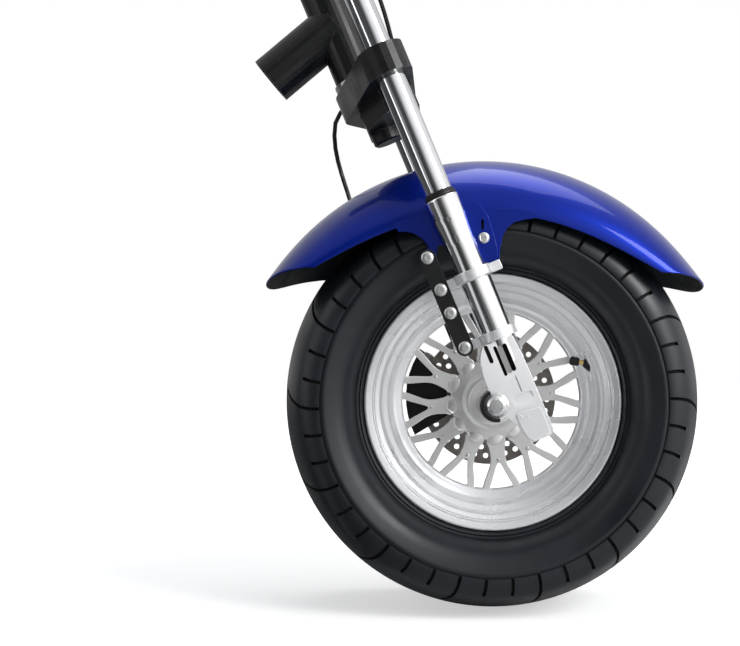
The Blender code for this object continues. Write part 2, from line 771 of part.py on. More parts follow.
def build_mudguard():
    shape = bmesh.new()
    rows = []
    for i in range(GUARD_STATIONS + 1):
        degrees = GUARD_FRONT + (GUARD_REAR - GUARD_FRONT) * i / GUARD_STATIONS
        turns = [math.pi / 2 * j / GUARD_ROWS for j in range(GUARD_ROWS + 1)]
        rows.append([shape.verts.new(guard_point(degrees, turn)) for turn in turns])
    for row, following in zip(rows, rows[1:]):
        for j in range(GUARD_ROWS):
            shape.faces.new((row[j], row[j + 1], following[j + 1], following[j]))
    bmesh.ops.recalc_face_normals(shape, faces=shape.faces)
    mesh = bpy.data.meshes.new("mudguard")
    shape.to_mesh(mesh)
    shape.free()
    guard = bpy.data.objects.new("mudguard", mesh)
    PARTS.objects.link(guard)
    set_finish(guard, BLUE_PAINT)
    place(guard, road_side)
    mirror = guard.modifiers.new("other_half", "MIRROR")
    mirror.use_axis = (False, False, True)
    mirror.merge_threshold = 0.0001
    shell = guard.modifiers.new("wall", "SOLIDIFY")
    shell.thickness = GUARD_WALL
    shell.offset = -1.0
    for side in LEG_Y:
        join(guard, ear_plate(side))
        cut(guard, ear_slot(side))
    smooth(guard)


def ear_plate(side):
    """The flap beside one fork leg: a rear ear on the link plate and a front ear on the upper clamp."""
    rear = (AXLE_LAG - LINK_LAG, LINK_TOP)
    front = (AXLE_LAG + FRONT_EAR_LEAD, FRONT_EAR_LEVEL)
    tip = (front[0], UPPER_CLAMP_LEVEL + MM)
    top = guard_radius(90.0) - GUARD_SIDE + GUARD_WALL * 3
    # Its front and rear edges sweep out of the guard's lower edge
    outline = arc((0.0, 0.0), top, 60.0, 93.0, 12)
    outline += [(rear[0] - 5 * MM, rear[1] + 31 * MM), (rear[0] - MM, rear[1] + 25 * MM), (rear[0] + 2 * MM, rear[1] + 17 * MM)]
    outline += arc(rear, EAR_RADIUS, 90.0, 340.0, 9)
    outline += [(rear[0] + EAR_RADIUS * 1.8, rear[1] + EAR_RADIUS), (front[0] - EAR_RADIUS * 2.2, front[1] + EAR_RADIUS)]
    outline += [(front[0] - EAR_RADIUS * 1.2, front[1])]
    outline += arc(tip, EAR_TIP_RADIUS, 180.0, 380.0, 8)
    outline += [(front[0] + EAR_RADIUS * 1.34, front[1] - 14 * MM), (front[0] + EAR_RADIUS * 2.3, front[1] - 2 * MM)]
    outline += [(front[0] + EAR_RADIUS * 3.5, front[1] + 5 * MM), (front[0] + EAR_RADIUS * 4.8, front[1] + 5 * MM)]
    near = INWARD[side] * GUARD_HALF_WIDTH
    far = INWARD[side] * (GUARD_HALF_WIDTH - GUARD_WALL)
    low, high = sorted((near, far))
    ears = plate("guard_ears_" + side, [outline], low, high, BLUE_PAINT)
    place(ears, fork_side)
    return ears


def ear_slot(side):
    """The short slot above the front ear's bolt."""
    half = EAR_SLOT_LENGTH / 2 - EAR_SLOT_WIDTH / 2
    outline = arc((0.0, half), EAR_SLOT_WIDTH / 2, 0.0, 180.0, 5)
    outline += arc((0.0, -half), EAR_SLOT_WIDTH / 2, 180.0, 360.0, 5)
    slot = plate("ear_slot_" + side, [outline], -GUARD_WALL * 3, GUARD_WALL * 3, BLUE_PAINT)
    middle = (AXLE_LAG + FRONT_EAR_LEAD + 4 * MM, FRONT_EAR_LEVEL + EAR_SLOT_RISE)
    # The slot stands upright on the road, so it leans back by the rake
    place(slot, fork_side, (*middle, INWARD[side] * GUARD_HALF_WIDTH), (0.0, 0.0, -RAKE))
    return slot


def build_axle():
    reach = LEG_SPREAD / 2 + LUG_WIDTH / 2 + AXLE_NUT_HEIGHT
    axle = turned("axle", rod_profile(AXLE_RADIUS, -reach - MM * 2, reach + MM * 2, MM), ZINC_STEEL, 24)
    place(axle, fork_side)
    smooth(axle)
    lug_outer = LEG_SPREAD / 2 + LUG_WIDTH / 2 + SEAT
    lug_inner = LEG_SPREAD / 2 - LUG_WIDTH / 2 - SEAT
    for side, way in INWARD.items():
        low, high = sorted((way * lug_outer, way * (lug_outer + AXLE_NUT_HEIGHT)))
        nut = plate(
            "axle_nut_" + side,
            [hexagon(AXLE_NUT_ACROSS), circle((0.0, 0.0), AXLE_RADIUS + PIN_GAP, 24)],
            low,
            high,
            ZINC_STEEL,
        )
        place(nut, fork_side)
    hub_face = HUB_RIGHT_END + RACE_GAP
    right = turned(
        "axle_spacer_right",
        ring_profile(AXLE_RADIUS + PIN_GAP, SPACER_RADIUS, hub_face, lug_inner),
        ZINC_STEEL,
        24,
        closed=True,
    )
    place(right, fork_side)
    smooth(right)
    left_end = DISC_OFFSET - DISC_THICKNESS / 2 - SEAT
    left = turned(
        "axle_spacer_left",
        ring_profile(
            AXLE_RADIUS + PIN_GAP, SPACER_RADIUS, -lug_inner + BRACKET_THICKNESS + SEAT, -left_end - RACE_GAP
        ),
        ZINC_STEEL,
        24,
        closed=True,
    )
    place(left, fork_side)
    smooth(left)


def build_tyre():
    half = TYRE_WIDTH / 2
    bead_out = RIM_WIDTH / 2 - 7.8 * MM
    flange = RIM_WIDTH / 2
    bead = BEAD_RADIUS + SEAT
    crown = TYRE_RADIUS
    outer = [
        (bead, bead_out),
        (bead + 6.0 * MM, bead_out + 1.4 * MM),
        (FLANGE_RADIUS + 0.4 * MM, flange - 3.8 * MM),
        (FLANGE_RADIUS + 5.0 * MM, flange + 9.0 * MM),
        (FLANGE_RADIUS + 15.0 * MM, half - 14.0 * MM),
        (FLANGE_RADIUS + 31.0 * MM, half - 2.5 * MM),
        (FLANGE_RADIUS + 48.0 * MM, half),
        (crown - 27.0 * MM, half - 6.0 * MM),
        (crown - 19.0 * MM, half - 18.0 * MM),
        (crown - 9.5 * MM, half - 43.0 * MM),
        (crown - 2.8 * MM, half - 72.0 * MM),
    ]
    inner = [
        (bead, bead_out - TYRE_WALL),
        (bead + 12.0 * MM, bead_out - TYRE_WALL * 0.6),
        (FLANGE_RADIUS + 18.0 * MM, half - 14.0 * MM - TYRE_WALL),
        (FLANGE_RADIUS + 45.0 * MM, half - TYRE_WALL),
        (crown - 24.0 * MM, half - 17.0 * MM - TYRE_WALL),
        (crown - TYRE_WALL - 4.0 * MM, half - 55.0 * MM),
    ]
    right = outer[::-1]
    profile = [(crown, 0.0)] + [(r, -z) for r, z in outer[::-1]] + [(r, -z) for r, z in inner]
    profile += [(crown - TYRE_WALL - MM, 0.0)] + inner[::-1] + right[::-1]
    tyre = turned("tyre", profile, TYRE_RUBBER, TYRE_STEPS, closed=True)
    place(tyre, wheel_axis)
    smooth(tyre, 50.0)


def rim_profile():
    """The barrel's closed section: stepped inside on the right, plain on the left."""
    edge = RIM_WIDTH / 2
    right_face = [
        (FLANGE_RADIUS, edge - 3.0 * MM),
        (FLANGE_RADIUS - 0.6 * MM, edge - 0.8 * MM),
        (FLANGE_RADIUS - 3.0 * MM, edge),
        (FLANGE_RADIUS - 7.0 * MM, edge - 1.2 * MM),
        (FLANGE_RADIUS - RIM_DISH * 0.242, edge - 10.0 * MM),
        (FLANGE_RADIUS - RIM_DISH * 0.408, edge - 12.5 * MM),
        (FLANGE_RADIUS - RIM_DISH * 0.459, edge - 25.0 * MM),
        (FLANGE_RADIUS - RIM_DISH * 0.625, edge - 27.0 * MM),
        (FLANGE_RADIUS - RIM_DISH * 0.702, SPOKE_THICKNESS / 2 + 7.0 * MM),
        (FLANGE_RADIUS - RIM_DISH * 0.829, SPOKE_THICKNESS / 2 + 3.0 * MM),
        (RIM_RING_RADIUS, SPOKE_THICKNESS / 2 + 1.0 * MM),
    ]
    left_face = [
        (RIM_RING_RADIUS, -SPOKE_THICKNESS / 2 - 1.0 * MM),
        (FLANGE_RADIUS - RIM_DISH * 0.791, -SPOKE_THICKNESS / 2 - 5.0 * MM),
        (FLANGE_RADIUS - RIM_DISH * 0.714, -edge + 22.0 * MM),
        (FLANGE_RADIUS - RIM_DISH * 0.306, -edge + 9.0 * MM),
        (FLANGE_RADIUS - 7.0 * MM, -edge + 1.2 * MM),
        (FLANGE_RADIUS - 3.0 * MM, -edge),
        (FLANGE_RADIUS - 0.6 * MM, -edge + 0.8 * MM),
        (FLANGE_RADIUS, -edge + 3.0 * MM),
    ]
    tyre_side = [
        (BEAD_RADIUS + 6.0 * MM, -edge + 6.0 * MM),
        (BEAD_RADIUS, -edge + 7.4 * MM),
        (BEAD_RADIUS - 1.0 * MM, -edge + 24.0 * MM),
        (WELL_RADIUS, -edge + 33.0 * MM),
        (WELL_RADIUS, edge - 33.0 * MM),
        (BEAD_RADIUS - 1.0 * MM, edge - 24.0 * MM),
        (BEAD_RADIUS, edge - 7.4 * MM),
        (BEAD_RADIUS + 6.0 * MM, edge - 6.0 * MM),
    ]
    # The Screw wants the outer side first, from the top down
    return tyre_side[::-1] + left_face[::-1] + right_face[::-1]


def polar(radius, degrees):
    a = math.radians(degrees)
    return (radius * math.cos(a), radius * math.sin(a))


def window(middle, half):
    """An opening between the hub and the ring, from (share of the way out, degrees aside) points."""
    way = RIM_RING_RADIUS - HUB_BOSS_RADIUS
    line = [(HUB_BOSS_RADIUS + way * share, aside) for share, aside in half]
    return [polar(r, middle - d) for r, d in line] + [polar(r, middle + d) for r, d in line[::-1] if d > 0.0]


def window_between_arms(middle):
    """The tall opening between two neighbouring Y arms, pointed towards the hub."""
    half = [(0.056, 2.2), (0.13, 5.2), (0.30, 7.4), (0.43, 7.9), (0.56, 7.0), (0.875, 3.4), (0.963, 3.0), (1.0, 2.0)]
    return window(middle, half)


def window_in_arm(middle):
    """The arched opening inside one Y arm."""
    half = [(0.468, 0.8), (0.511, 2.0), (0.632, 3.7), (0.818, 5.8), (0.944, 7.3), (1.0, 6.0), (1.0, 0.0)]
    return window(middle, half)


def hub_lobes():
    """A round lobe on the right face at the root of each arm."""
    shape = bmesh.new()
    for i in range(ARM_COUNT):
        x, y = polar(LOBE_OUT, ARM_PHASE + 360.0 / ARM_COUNT * (i + 0.5))
        stand = Matrix.Translation((x, y, SPOKE_THICKNESS / 2)) @ Matrix.Diagonal((1, 1, LOBE_HEIGHT / LOBE_RADIUS, 1))
        bmesh.ops.create_uvsphere(shape, u_segments=12, v_segments=6, radius=LOBE_RADIUS, matrix=stand)
    mesh = bpy.data.meshes.new("hub_lobes")
    shape.to_mesh(mesh)
    shape.free()
    lobes = bpy.data.objects.new("hub_lobes", mesh)
    PARTS.objects.link(lobes)
    set_finish(lobes, POLISHED_ALLOY)
    place(lobes, wheel_axis)
    return lobes


def build_rim():
    rim = turned("rim", rim_profile(), POLISHED_ALLOY, RIM_STEPS, closed=True)
    place(rim, wheel_axis)
    pitch = 360.0 / ARM_COUNT
    windows = []
    for i in range(ARM_COUNT):
        windows.append(window_between_arms(ARM_PHASE + pitch * i))
        windows.append(window_in_arm(ARM_PHASE + pitch * (i + 0.5)))
    web = circle((0.0, 0.0), RIM_RING_RADIUS + 4.0 * MM, RIM_STEPS)
    bore = circle((0.0, 0.0), AXLE_RADIUS + HUB_BORE_GAP + MM, 16)
    spokes = plate("spokes", [web, bore] + windows, -SPOKE_THICKNESS / 2, SPOKE_THICKNESS / 2, POLISHED_ALLOY)
    place(spokes, wheel_axis)
    join(rim, spokes)
    left_end = -DISC_OFFSET + DISC_THICKNESS / 2 + SEAT
    bore_radius = AXLE_RADIUS + HUB_BORE_GAP
    hub = turned(
        "hub",
        [
            (bore_radius, HUB_RIGHT_END),
            (HUB_RADIUS - 3 * MM, HUB_RIGHT_END),
            (HUB_RADIUS, HUB_RIGHT_END - 3 * MM),
            (HUB_RADIUS, HUB_BOSS_THICKNESS / 2 + 3 * MM),
            (HUB_BOSS_RADIUS - 4 * MM, HUB_BOSS_THICKNESS / 2),
            (HUB_BOSS_RADIUS, SPOKE_THICKNESS / 2 - MM),
            (HUB_BOSS_RADIUS, -SPOKE_THICKNESS / 2 + MM),
            (HUB_RADIUS + 4 * MM, -HUB_BOSS_THICKNESS / 2 - 3 * MM),
            (HUB_RADIUS, left_end + 10 * MM),
            (DISC_SEAT_RADIUS, left_end + 7 * MM),
            (DISC_SEAT_RADIUS, left_end),
            (bore_radius, left_end),
        ],
        POLISHED_ALLOY,
        24,
        closed=True,
    )
    place(hub, wheel_axis)
    join(rim, hub)
    join(rim, hub_lobes())
    smooth(rim)


def build_disc():
    holes = []
    pitch = 360.0 / ARM_COUNT
    for i in range(ARM_COUNT):
        middle = ARM_PHASE + pitch * i
        for radius, turn in ((0.060, 0.0), (0.070, -5.5), (0.070, 5.5)):
            holes.append(circle(polar(radius, middle + turn), DISC_HOLE_RADIUS, 6))
    disc = plate(
        "brake_disc",
        [circle((0.0, 0.0), DISC_RADIUS, 48), circle((0.0, 0.0), DISC_BORE, 20)] + holes,
        -DISC_OFFSET - DISC_THICKNESS / 2,
        -DISC_OFFSET + DISC_THICKNESS / 2,
        BARE_STEEL,
    )
    place(disc, wheel_axis)
    smooth(disc)


def build_valve():
    reach = FLANGE_RADIUS - RIM_DISH * 0.702 - SEAT
    valve = turned(
        "valve_stem",
        [
            (0.0, 0.0),
            (VALVE_RADIUS * 1.7, 0.0),
            (VALVE_RADIUS * 1.7, -2 * MM),
            (VALVE_RADIUS, -5 * MM),
            (VALVE_RADIUS, -VALVE_LENGTH + MM),
            (VALVE_RADIUS - MM, -VALVE_LENGTH),
            (0.0, -VALVE_LENGTH),
        ],
        SOFT_RUBBER,
        20,
    )
    # The stem points from the barrel towards the hub
    a = math.radians(ARM_PHASE)
    place(
        valve,
        wheel_axis,
        (reach * math.cos(a), reach * math.sin(a), VALVE_PLANE),
        (0.0, math.pi / 2, a),
    )
    smooth(valve)


BRACKET_FACE = -LEG_SPREAD / 2 + LUG_WIDTH / 2 + SEAT + BRACKET_THICKNESS
CALIPER_FACE = BRACKET_FACE + SEAT


def caliper_end():
    """The caliper's upper end: its corner at the outer radius, and the way along its face inwards."""
    outer = Vector(polar(CALIPER_OUTER, CALIPER_ANGLE - CALIPER_SWEEP))
    inner = Vector(polar(CALIPER_INNER, CALIPER_ANGLE - CALIPER_SWEEP + 4.0))
    return outer, (inner - outer).normalized()


def build_caliper():
    first = CALIPER_ANGLE - CALIPER_SWEEP
    last = CALIPER_ANGLE + CALIPER_SWEEP
    outline = arc((0.0, 0.0), CALIPER_OUTER, first, last, 9)
    outline += arc((0.0, 0.0), CALIPER_INNER, last - 4.0, first + 4.0, 7)
    middle = -DISC_OFFSET
    caliper = plate("caliper", [outline], CALIPER_FACE, middle + CALIPER_INBOARD, BLACK_PAINT)
    place(caliper, road_side)
    slot = turned(
        "caliper_slot",
        rod_profile(DISC_RADIUS + 4 * MM, middle - CALIPER_SLOT / 2, middle + CALIPER_SLOT / 2),
        BLACK_PAINT,
        56,
    )
    place(slot, road_side)
    cut(caliper, slot)
    smooth(caliper)

    bosses = [
        circle(polar(CALIPER_OUTER - 12 * MM, CALIPER_ANGLE + way * (CALIPER_SWEEP - 8.0)), 10 * MM, 16)
        for way in (-1, 1)
    ]
    bracket = plate(
        "caliper_bracket",
        [hull(circle((0.0, 0.0), LUG_RADIUS, 24) + bosses[0] + bosses[1]), circle((0.0, 0.0), AXLE_RADIUS + PIN_GAP, 24)],
        BRACKET_FACE - BRACKET_THICKNESS,
        BRACKET_FACE,
        ZINC_STEEL,
    )
    place(bracket, road_side)
    smooth(bracket)


UNION_X = YOKE_OFFSET + YOKE_CLAMP_RADIUS + UNION_RADIUS + SEAT
CLIP_AT = Vector((0.0100, 0.1010, 0.3970 - AXLE_DROP))
HOSE_LEVEL = -0.097              # across the wheel, where the hose meets the caliper


def banjo_place():
    """The banjo's centre on the caliper's end face, the way its bolt points and the way the hose leaves."""
    corner, inwards = caliper_end()
    bolt = Vector((-inwards.y, inwards.x))
    centre = corner + inwards * BANJO_RADIUS * 1.8 + bolt * (BANJO_HEIGHT / 2 + SEAT)
    return centre, bolt, -inwards


def in_fork(flat, across):
    """A point of the road side view as a point of the fork's own axes."""
    c, s = math.cos(RAKE), math.sin(RAKE)
    return Vector((flat.x * c + flat.y * s + AXLE_X, -across, flat.y * c - flat.x * s - AXLE_DROP))


def hose_route():
    """The brake hose in the fork's own axes, from its union on the upper yoke to the caliper."""
    heights = [
        (0.0620, 0.056, 0.5040),
        (0.0610, 0.064, 0.4680),
        (0.0540, 0.082, 0.4240),
        (0.0360, 0.097, 0.4010),
        (0.0220, 0.100, 0.3973),
        (-0.0020, 0.102, 0.3968),
        (-0.0220, 0.105, 0.3920),
        (-0.0430, 0.109, 0.3780),
        (-0.0550, 0.113, 0.3500),
        (-0.0600, 0.116, 0.3200),
        (-0.0632, 0.119, 0.2845),
        (-0.0690, 0.1195, 0.2453),
        (-0.0735, 0.119, 0.2038),
        (-0.0739, 0.116, 0.1608),
        (-0.0716, 0.108, 0.1219),
    ]
    centre, bolt, leaving = banjo_place()
    end = centre + leaving * (BANJO_RADIUS + SEAT)
    top = Vector((UNION_X, 0.050, UPPER_YOKE_FOOT - SEAT))
    points = [top, top - Vector((0.0, 0.0, 0.010))]
    points += [Vector((x, y, z - AXLE_DROP)) for x, y, z in heights]
    points += [in_fork(end + leaving * 0.020, HOSE_LEVEL - 0.003), in_fork(end, HOSE_LEVEL)]
    return points


def build_hose():
    line = smooth_route(hose_route(), HOSE_STEP)
    drawn = bpy.data.curves.new("brake_hose", "CURVE")
    drawn.dimensions = "3D"
    drawn.bevel_depth = HOSE_RADIUS
    drawn.bevel_resolution = 2
    drawn.use_fill_caps = True
    spline = drawn.splines.new("POLY")
    spline.points.add(len(line) - 1)
    for point, place_at in zip(spline.points, line):
        point.co = (*place_at, 1.0)
    hose = bpy.data.objects.new("brake_hose", drawn)
    PARTS.objects.link(hose)
    set_finish(hose, SOFT_RUBBER)
    place(hose, steer_axis)

    centre, bolt, leaving = banjo_place()
    banjo = turned("hose_banjo", rod_profile(BANJO_RADIUS, -BANJO_HEIGHT / 2, BANJO_HEIGHT / 2, MM), ZINC_STEEL, 20)
    place(banjo, road_side, (*centre, HOSE_LEVEL), (0.0, math.pi / 2, math.atan2(bolt.y, bolt.x)))
    smooth(banjo)

    union = turned("hose_union", rod_profile(UNION_RADIUS, 0.0, UNION_LENGTH, MM), ZINC_STEEL, 20)
    place(union, steer_axis, (UNION_X, 0.050, UPPER_YOKE_FOOT))
    smooth(union)

    drop = CLIP_AT.z - LOWER_YOKE_TOP - SEAT
    outline = hull(circle((0.0, 0.0), CLIP_RADIUS, 20) + [(-CLIP_RADIUS, -drop), (CLIP_RADIUS, -drop)])
    clip = plate(
        "hose_clip",
        [outline, circle((0.0, 0.0), HOSE_RADIUS + CLIP_GAP, 16)],
        -CLIP_LENGTH / 2,
        CLIP_LENGTH / 2,
        BLACK_PAINT,
    )
    # The clip stands on the lower yoke, its hole along the hose
    place(clip, steer_axis, CLIP_AT, (math.pi / 2, 0.0, math.pi / 2))
    smooth(clip)


build_steering_head()
build_yokes()
for leg_side in LEG_Y:
    build_leg(leg_side)
    build_clamps(leg_side)
    build_link(leg_side)
build_mudguard()
build_axle()
build_tyre()
build_rim()
build_disc()
build_valve()
build_caliper()
build_hose()
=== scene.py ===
# Looks of the front end of a fat-tyred electric motorcycle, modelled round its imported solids.
# Metres, +X forward, +Z up. Wheel and fork pieces are drawn flat on their own axes, then stood in place.
import json
import math
import bpy
from mathutils import Matrix, Vector


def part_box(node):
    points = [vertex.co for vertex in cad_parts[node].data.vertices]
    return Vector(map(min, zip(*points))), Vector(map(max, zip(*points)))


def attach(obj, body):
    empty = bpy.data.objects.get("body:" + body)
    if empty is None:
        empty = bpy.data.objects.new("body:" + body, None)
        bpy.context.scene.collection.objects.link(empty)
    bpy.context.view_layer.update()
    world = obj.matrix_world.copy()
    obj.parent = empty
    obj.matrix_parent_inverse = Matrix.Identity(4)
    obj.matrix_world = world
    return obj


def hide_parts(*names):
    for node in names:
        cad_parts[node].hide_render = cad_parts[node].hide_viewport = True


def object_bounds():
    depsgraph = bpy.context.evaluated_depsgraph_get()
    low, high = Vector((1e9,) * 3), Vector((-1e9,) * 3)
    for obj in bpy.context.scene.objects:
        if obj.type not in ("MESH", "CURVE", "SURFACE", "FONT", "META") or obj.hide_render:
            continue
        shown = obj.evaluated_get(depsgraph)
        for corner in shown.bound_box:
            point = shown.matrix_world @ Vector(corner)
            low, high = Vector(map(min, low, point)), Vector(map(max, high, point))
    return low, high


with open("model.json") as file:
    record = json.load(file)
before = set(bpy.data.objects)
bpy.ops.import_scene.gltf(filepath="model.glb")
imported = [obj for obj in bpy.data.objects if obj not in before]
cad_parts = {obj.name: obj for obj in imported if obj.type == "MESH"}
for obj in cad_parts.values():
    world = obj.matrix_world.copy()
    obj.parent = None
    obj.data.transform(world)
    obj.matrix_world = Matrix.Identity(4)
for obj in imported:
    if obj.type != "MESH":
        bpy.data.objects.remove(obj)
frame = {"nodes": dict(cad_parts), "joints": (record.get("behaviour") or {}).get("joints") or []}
cadLow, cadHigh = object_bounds()
mm = 0.001
print("frame loaded:", len(frame["nodes"]), "solids")


# axes of the wheel and the fork, read from the joints and from the stanchions
steerJoint = next(joint for joint in frame["joints"] if joint["name"] == "steer")
wheelJoint = next(joint for joint in frame["joints"] if joint["name"] == "wheel_spin")
rake = math.atan2(-steerJoint["axis"][0], steerJoint["axis"][2])
axlePoint = Vector(wheelJoint["pos_m"])
upLeg = Vector((-math.sin(rake), 0.0, math.cos(rake)))
leanTurn = Matrix.Rotation(-rake, 4, "Y")
sideTurn = Matrix.Rotation(math.pi / 2, 4, "X")  # local X forward, Y up, Z to the bike's right
wheelPlace = Matrix.Translation(axlePoint) @ sideTurn
forkPlace = Matrix.Translation(axlePoint) @ leanTurn @ sideTurn
sides = {"right": 1.0, "left": -1.0}  # local Z of the side views


def legMiddle(side):
    low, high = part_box("stanchion_" + side)
    return (low + high) / 2


legPlace = {}
for side in sides:
    middle = legMiddle(side)
    legPlace[side] = Matrix.Translation(middle - upLeg * (middle - axlePoint).dot(upLeg)) @ leanTurn
legLead = (legMiddle("right") - axlePoint).dot(leanTurn @ Vector((1.0, 0.0, 0.0)))
legSpread = legMiddle("left").y - legMiddle("right").y


# selecting and drawing
def setMode(mode):
    bpy.ops.object.mode_set(mode=mode)


def deselect():
    bpy.ops.object.select_all(action="DESELECT")


def selectMesh():
    bpy.ops.mesh.select_all(action="SELECT")


def pick(*pieces):
    deselect()
    for piece in pieces:
        piece.select_set(True)
    bpy.context.view_layer.objects.active = pieces[0]


def startPoint(name):
    # a small plane melted to one point, from which a line is drawn
    deselect()
    bpy.ops.mesh.primitive_plane_add(size=0.01)
    piece = bpy.context.object
    piece.name = name
    piece.data.name = name
    setMode("EDIT")
    bpy.ops.mesh.merge(type="CENTER")
    return piece


def drawLine(points):
    bpy.ops.transform.translate(value=points[0])
    for start, end in zip(points, points[1:]):
        bpy.ops.mesh.extrude_vertices_move(TRANSFORM_OT_translate={"value": end - start})


def closeUp():
    selectMesh()
    bpy.ops.mesh.remove_doubles(threshold=0.00001)
    bpy.ops.mesh.normals_make_consistent(inside=False)
    setMode("OBJECT")


def turn(name, profile, steps=96):
    # spins (radius, height) points round local Z
    piece = startPoint(name)
    drawLine([Vector((radius, 0.0, height)) for radius, height in profile])
    selectMesh()
    bpy.ops.mesh.spin(steps=steps, angle=math.tau, center=(0, 0, 0), axis=(0, 0, 1))
    closeUp()
    return piece


def turnRing(name, section, edge, count, steps):
    # spins a closed section with rounded corners
    return turn(name, looped(rounded(section, edge, count)), steps)


def addCylinder(sides, radius, depth, centre):
    deselect()
    bpy.ops.mesh.primitive_cylinder_add(vertices=sides, radius=radius, depth=depth, location=centre)
    return bpy.context.object


def cutPlate(name, outline, low, high, edge=0.0):
    # a flat outline in local XY, as thick as from one height to the other, its edges rounded
    low, high = sorted((low, high))
    piece = startPoint(name)
    drawLine([Vector((x, y, low)) for x, y in outline + outline[:1]])
    selectMesh()
    bpy.ops.mesh.remove_doubles(threshold=0.00001)
    bpy.ops.mesh.edge_face_add()
    bpy.ops.mesh.extrude_region_move(TRANSFORM_OT_translate={"value": (0, 0, high - low)})
    closeUp()
    if edge:
        roundEdges(piece, edge)
    return piece


def useModifier(piece, kind, **settings):
    pick(piece)
    step = piece.modifiers.new("step", kind)
    for key, value in settings.items():
        setattr(step, key, value)
    bpy.ops.object.modifier_apply(modifier=step.name)


def roundEdges(piece, width, segments=2, above=30.0):
    useModifier(
        piece,
        "BEVEL",
        width=width,
        segments=segments,
        limit_method="ANGLE",
        angle_limit=math.radians(above),
        use_clamp_overlap=True,
    )


def cutAway(piece, cutter):
    useModifier(piece, "BOOLEAN", operation="DIFFERENCE", solver="EXACT", object=cutter)
    bpy.data.objects.remove(cutter, do_unlink=True)


def weld(piece, other):
    useModifier(piece, "BOOLEAN", operation="UNION", solver="EXACT", object=other)
    bpy.data.objects.remove(other, do_unlink=True)


def settle(piece, place):
    piece.matrix_world = place
    pick(piece)
    bpy.ops.object.transform_apply(location=True, rotation=True, scale=True)


def copyAt(piece, name, place):
    pick(piece)
    bpy.ops.object.duplicate()
    twin = bpy.context.object
    twin.name = name
    twin.data.name = name
    settle(twin, place)
    return twin


def joinAll(name, pieces):
    pick(*pieces)
    if len(pieces) > 1:
        bpy.ops.object.join()
    whole = bpy.context.object
    whole.name = name
    whole.data.name = name
    return whole


def ringOf(piece, name, count, firstTurn=0.0):
    # copies of one piece all round local Z, joined
    copies = [
        copyAt(piece, name + "Copy", Matrix.Rotation(firstTurn + math.tau * i / count, 4, "Z"))
        for i in range(count)
    ]
    bpy.data.objects.remove(piece, do_unlink=True)
    return joinAll(name, copies)


def dress(piece, place, material, body, stands=(), smoothTo=35.0):
    settle(piece, place)
    bpy.ops.object.shade_smooth_by_angle(angle=math.radians(smoothTo))
    useModifier(piece, "WEIGHTED_NORMAL", keep_sharp=True)
    piece.data.materials.clear()
    piece.data.materials.append(material)
    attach(piece, body)
    if stands:
        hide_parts(*stands)


# flat drawing
def polar(radius, degrees):
    a = math.radians(degrees)
    return (radius * math.cos(a), radius * math.sin(a))


def arc(centre, radius, start, end, count):
    turns = [polar(radius, start + (end - start) * i / (count - 1)) for i in range(count)]
    return [(centre[0] + x, centre[1] + y) for x, y in turns]


def fromMm(points, x0=0.0, y0=0.0):
    # points in mm, counted from a corner in metres
    return [(x0 + x * mm, y0 + y * mm) for x, y in points]


def soften(points, radius, closed=False, count=3):
    # each corner of a line gives way to a short curve
    line = [Vector(p) for p in points]
    soft = []
    size = len(line)
    for i, corner in enumerate(line):
        if not closed and i in (0, size - 1):
            soft.append(corner)
            continue
        before, after = line[i - 1], line[(i + 1) % size]
        trim = min(radius, (before - corner).length * 0.45, (after - corner).length * 0.45)
        start = corner + (before - corner).normalized() * trim
        end = corner + (after - corner).normalized() * trim
        for j in range(count + 1):
            f = j / count
            soft.append(start * (1 - f) ** 2 + corner * 2 * f * (1 - f) + end * f**2)
    return [tuple(p) for p in soft]


def looped(points):
    return points + points[:1]


def rounded(points, radius, count=3):
    return soften(points, radius, True, count)


# shader node groups, shared by the materials
def newGroup(name, inputs, outputs):
    group = bpy.data.node_groups.new(name, "ShaderNodeTree")
    for label, value in inputs.items():
        kind = "NodeSocketVector" if isinstance(value, tuple) else "NodeSocketFloat"
        group.interface.new_socket(name=label, in_out="INPUT", socket_type=kind).default_value = value
    for label in outputs:
        group.interface.new_socket(name=label, in_out="OUTPUT", socket_type="NodeSocketFloat")
    return group, group.nodes.new("NodeGroupInput"), group.nodes.new("NodeGroupOutput")


def addNode(tree, kind, settings=(), values=()):
    node = tree.nodes.new("ShaderNode" + kind)
    for key, value in dict(settings).items():
        setattr(node, key, value)
    for key, value in dict(values).items():
        node.inputs[key].default_value = value
    return node


def addMath(tree, operation, clamp=False, kind="Math"):
    settings = {"operation": operation}
    if clamp:
        settings["use_clamp"] = True
    return addNode(tree, kind, settings)


def addRange(tree, low, high, toLow=0.0):
    return addNode(tree, "MapRange", values={"From Min": low, "From Max": high, "To Min": toLow})


def wire(tree, *links):
    # each link is (node, output, node, input) or (socket, node, input)
    for *source, target, entry in links:
        socket = source[0].outputs[source[1]] if len(source) > 1 else source[0]
        tree.links.new(socket, target.inputs[entry])


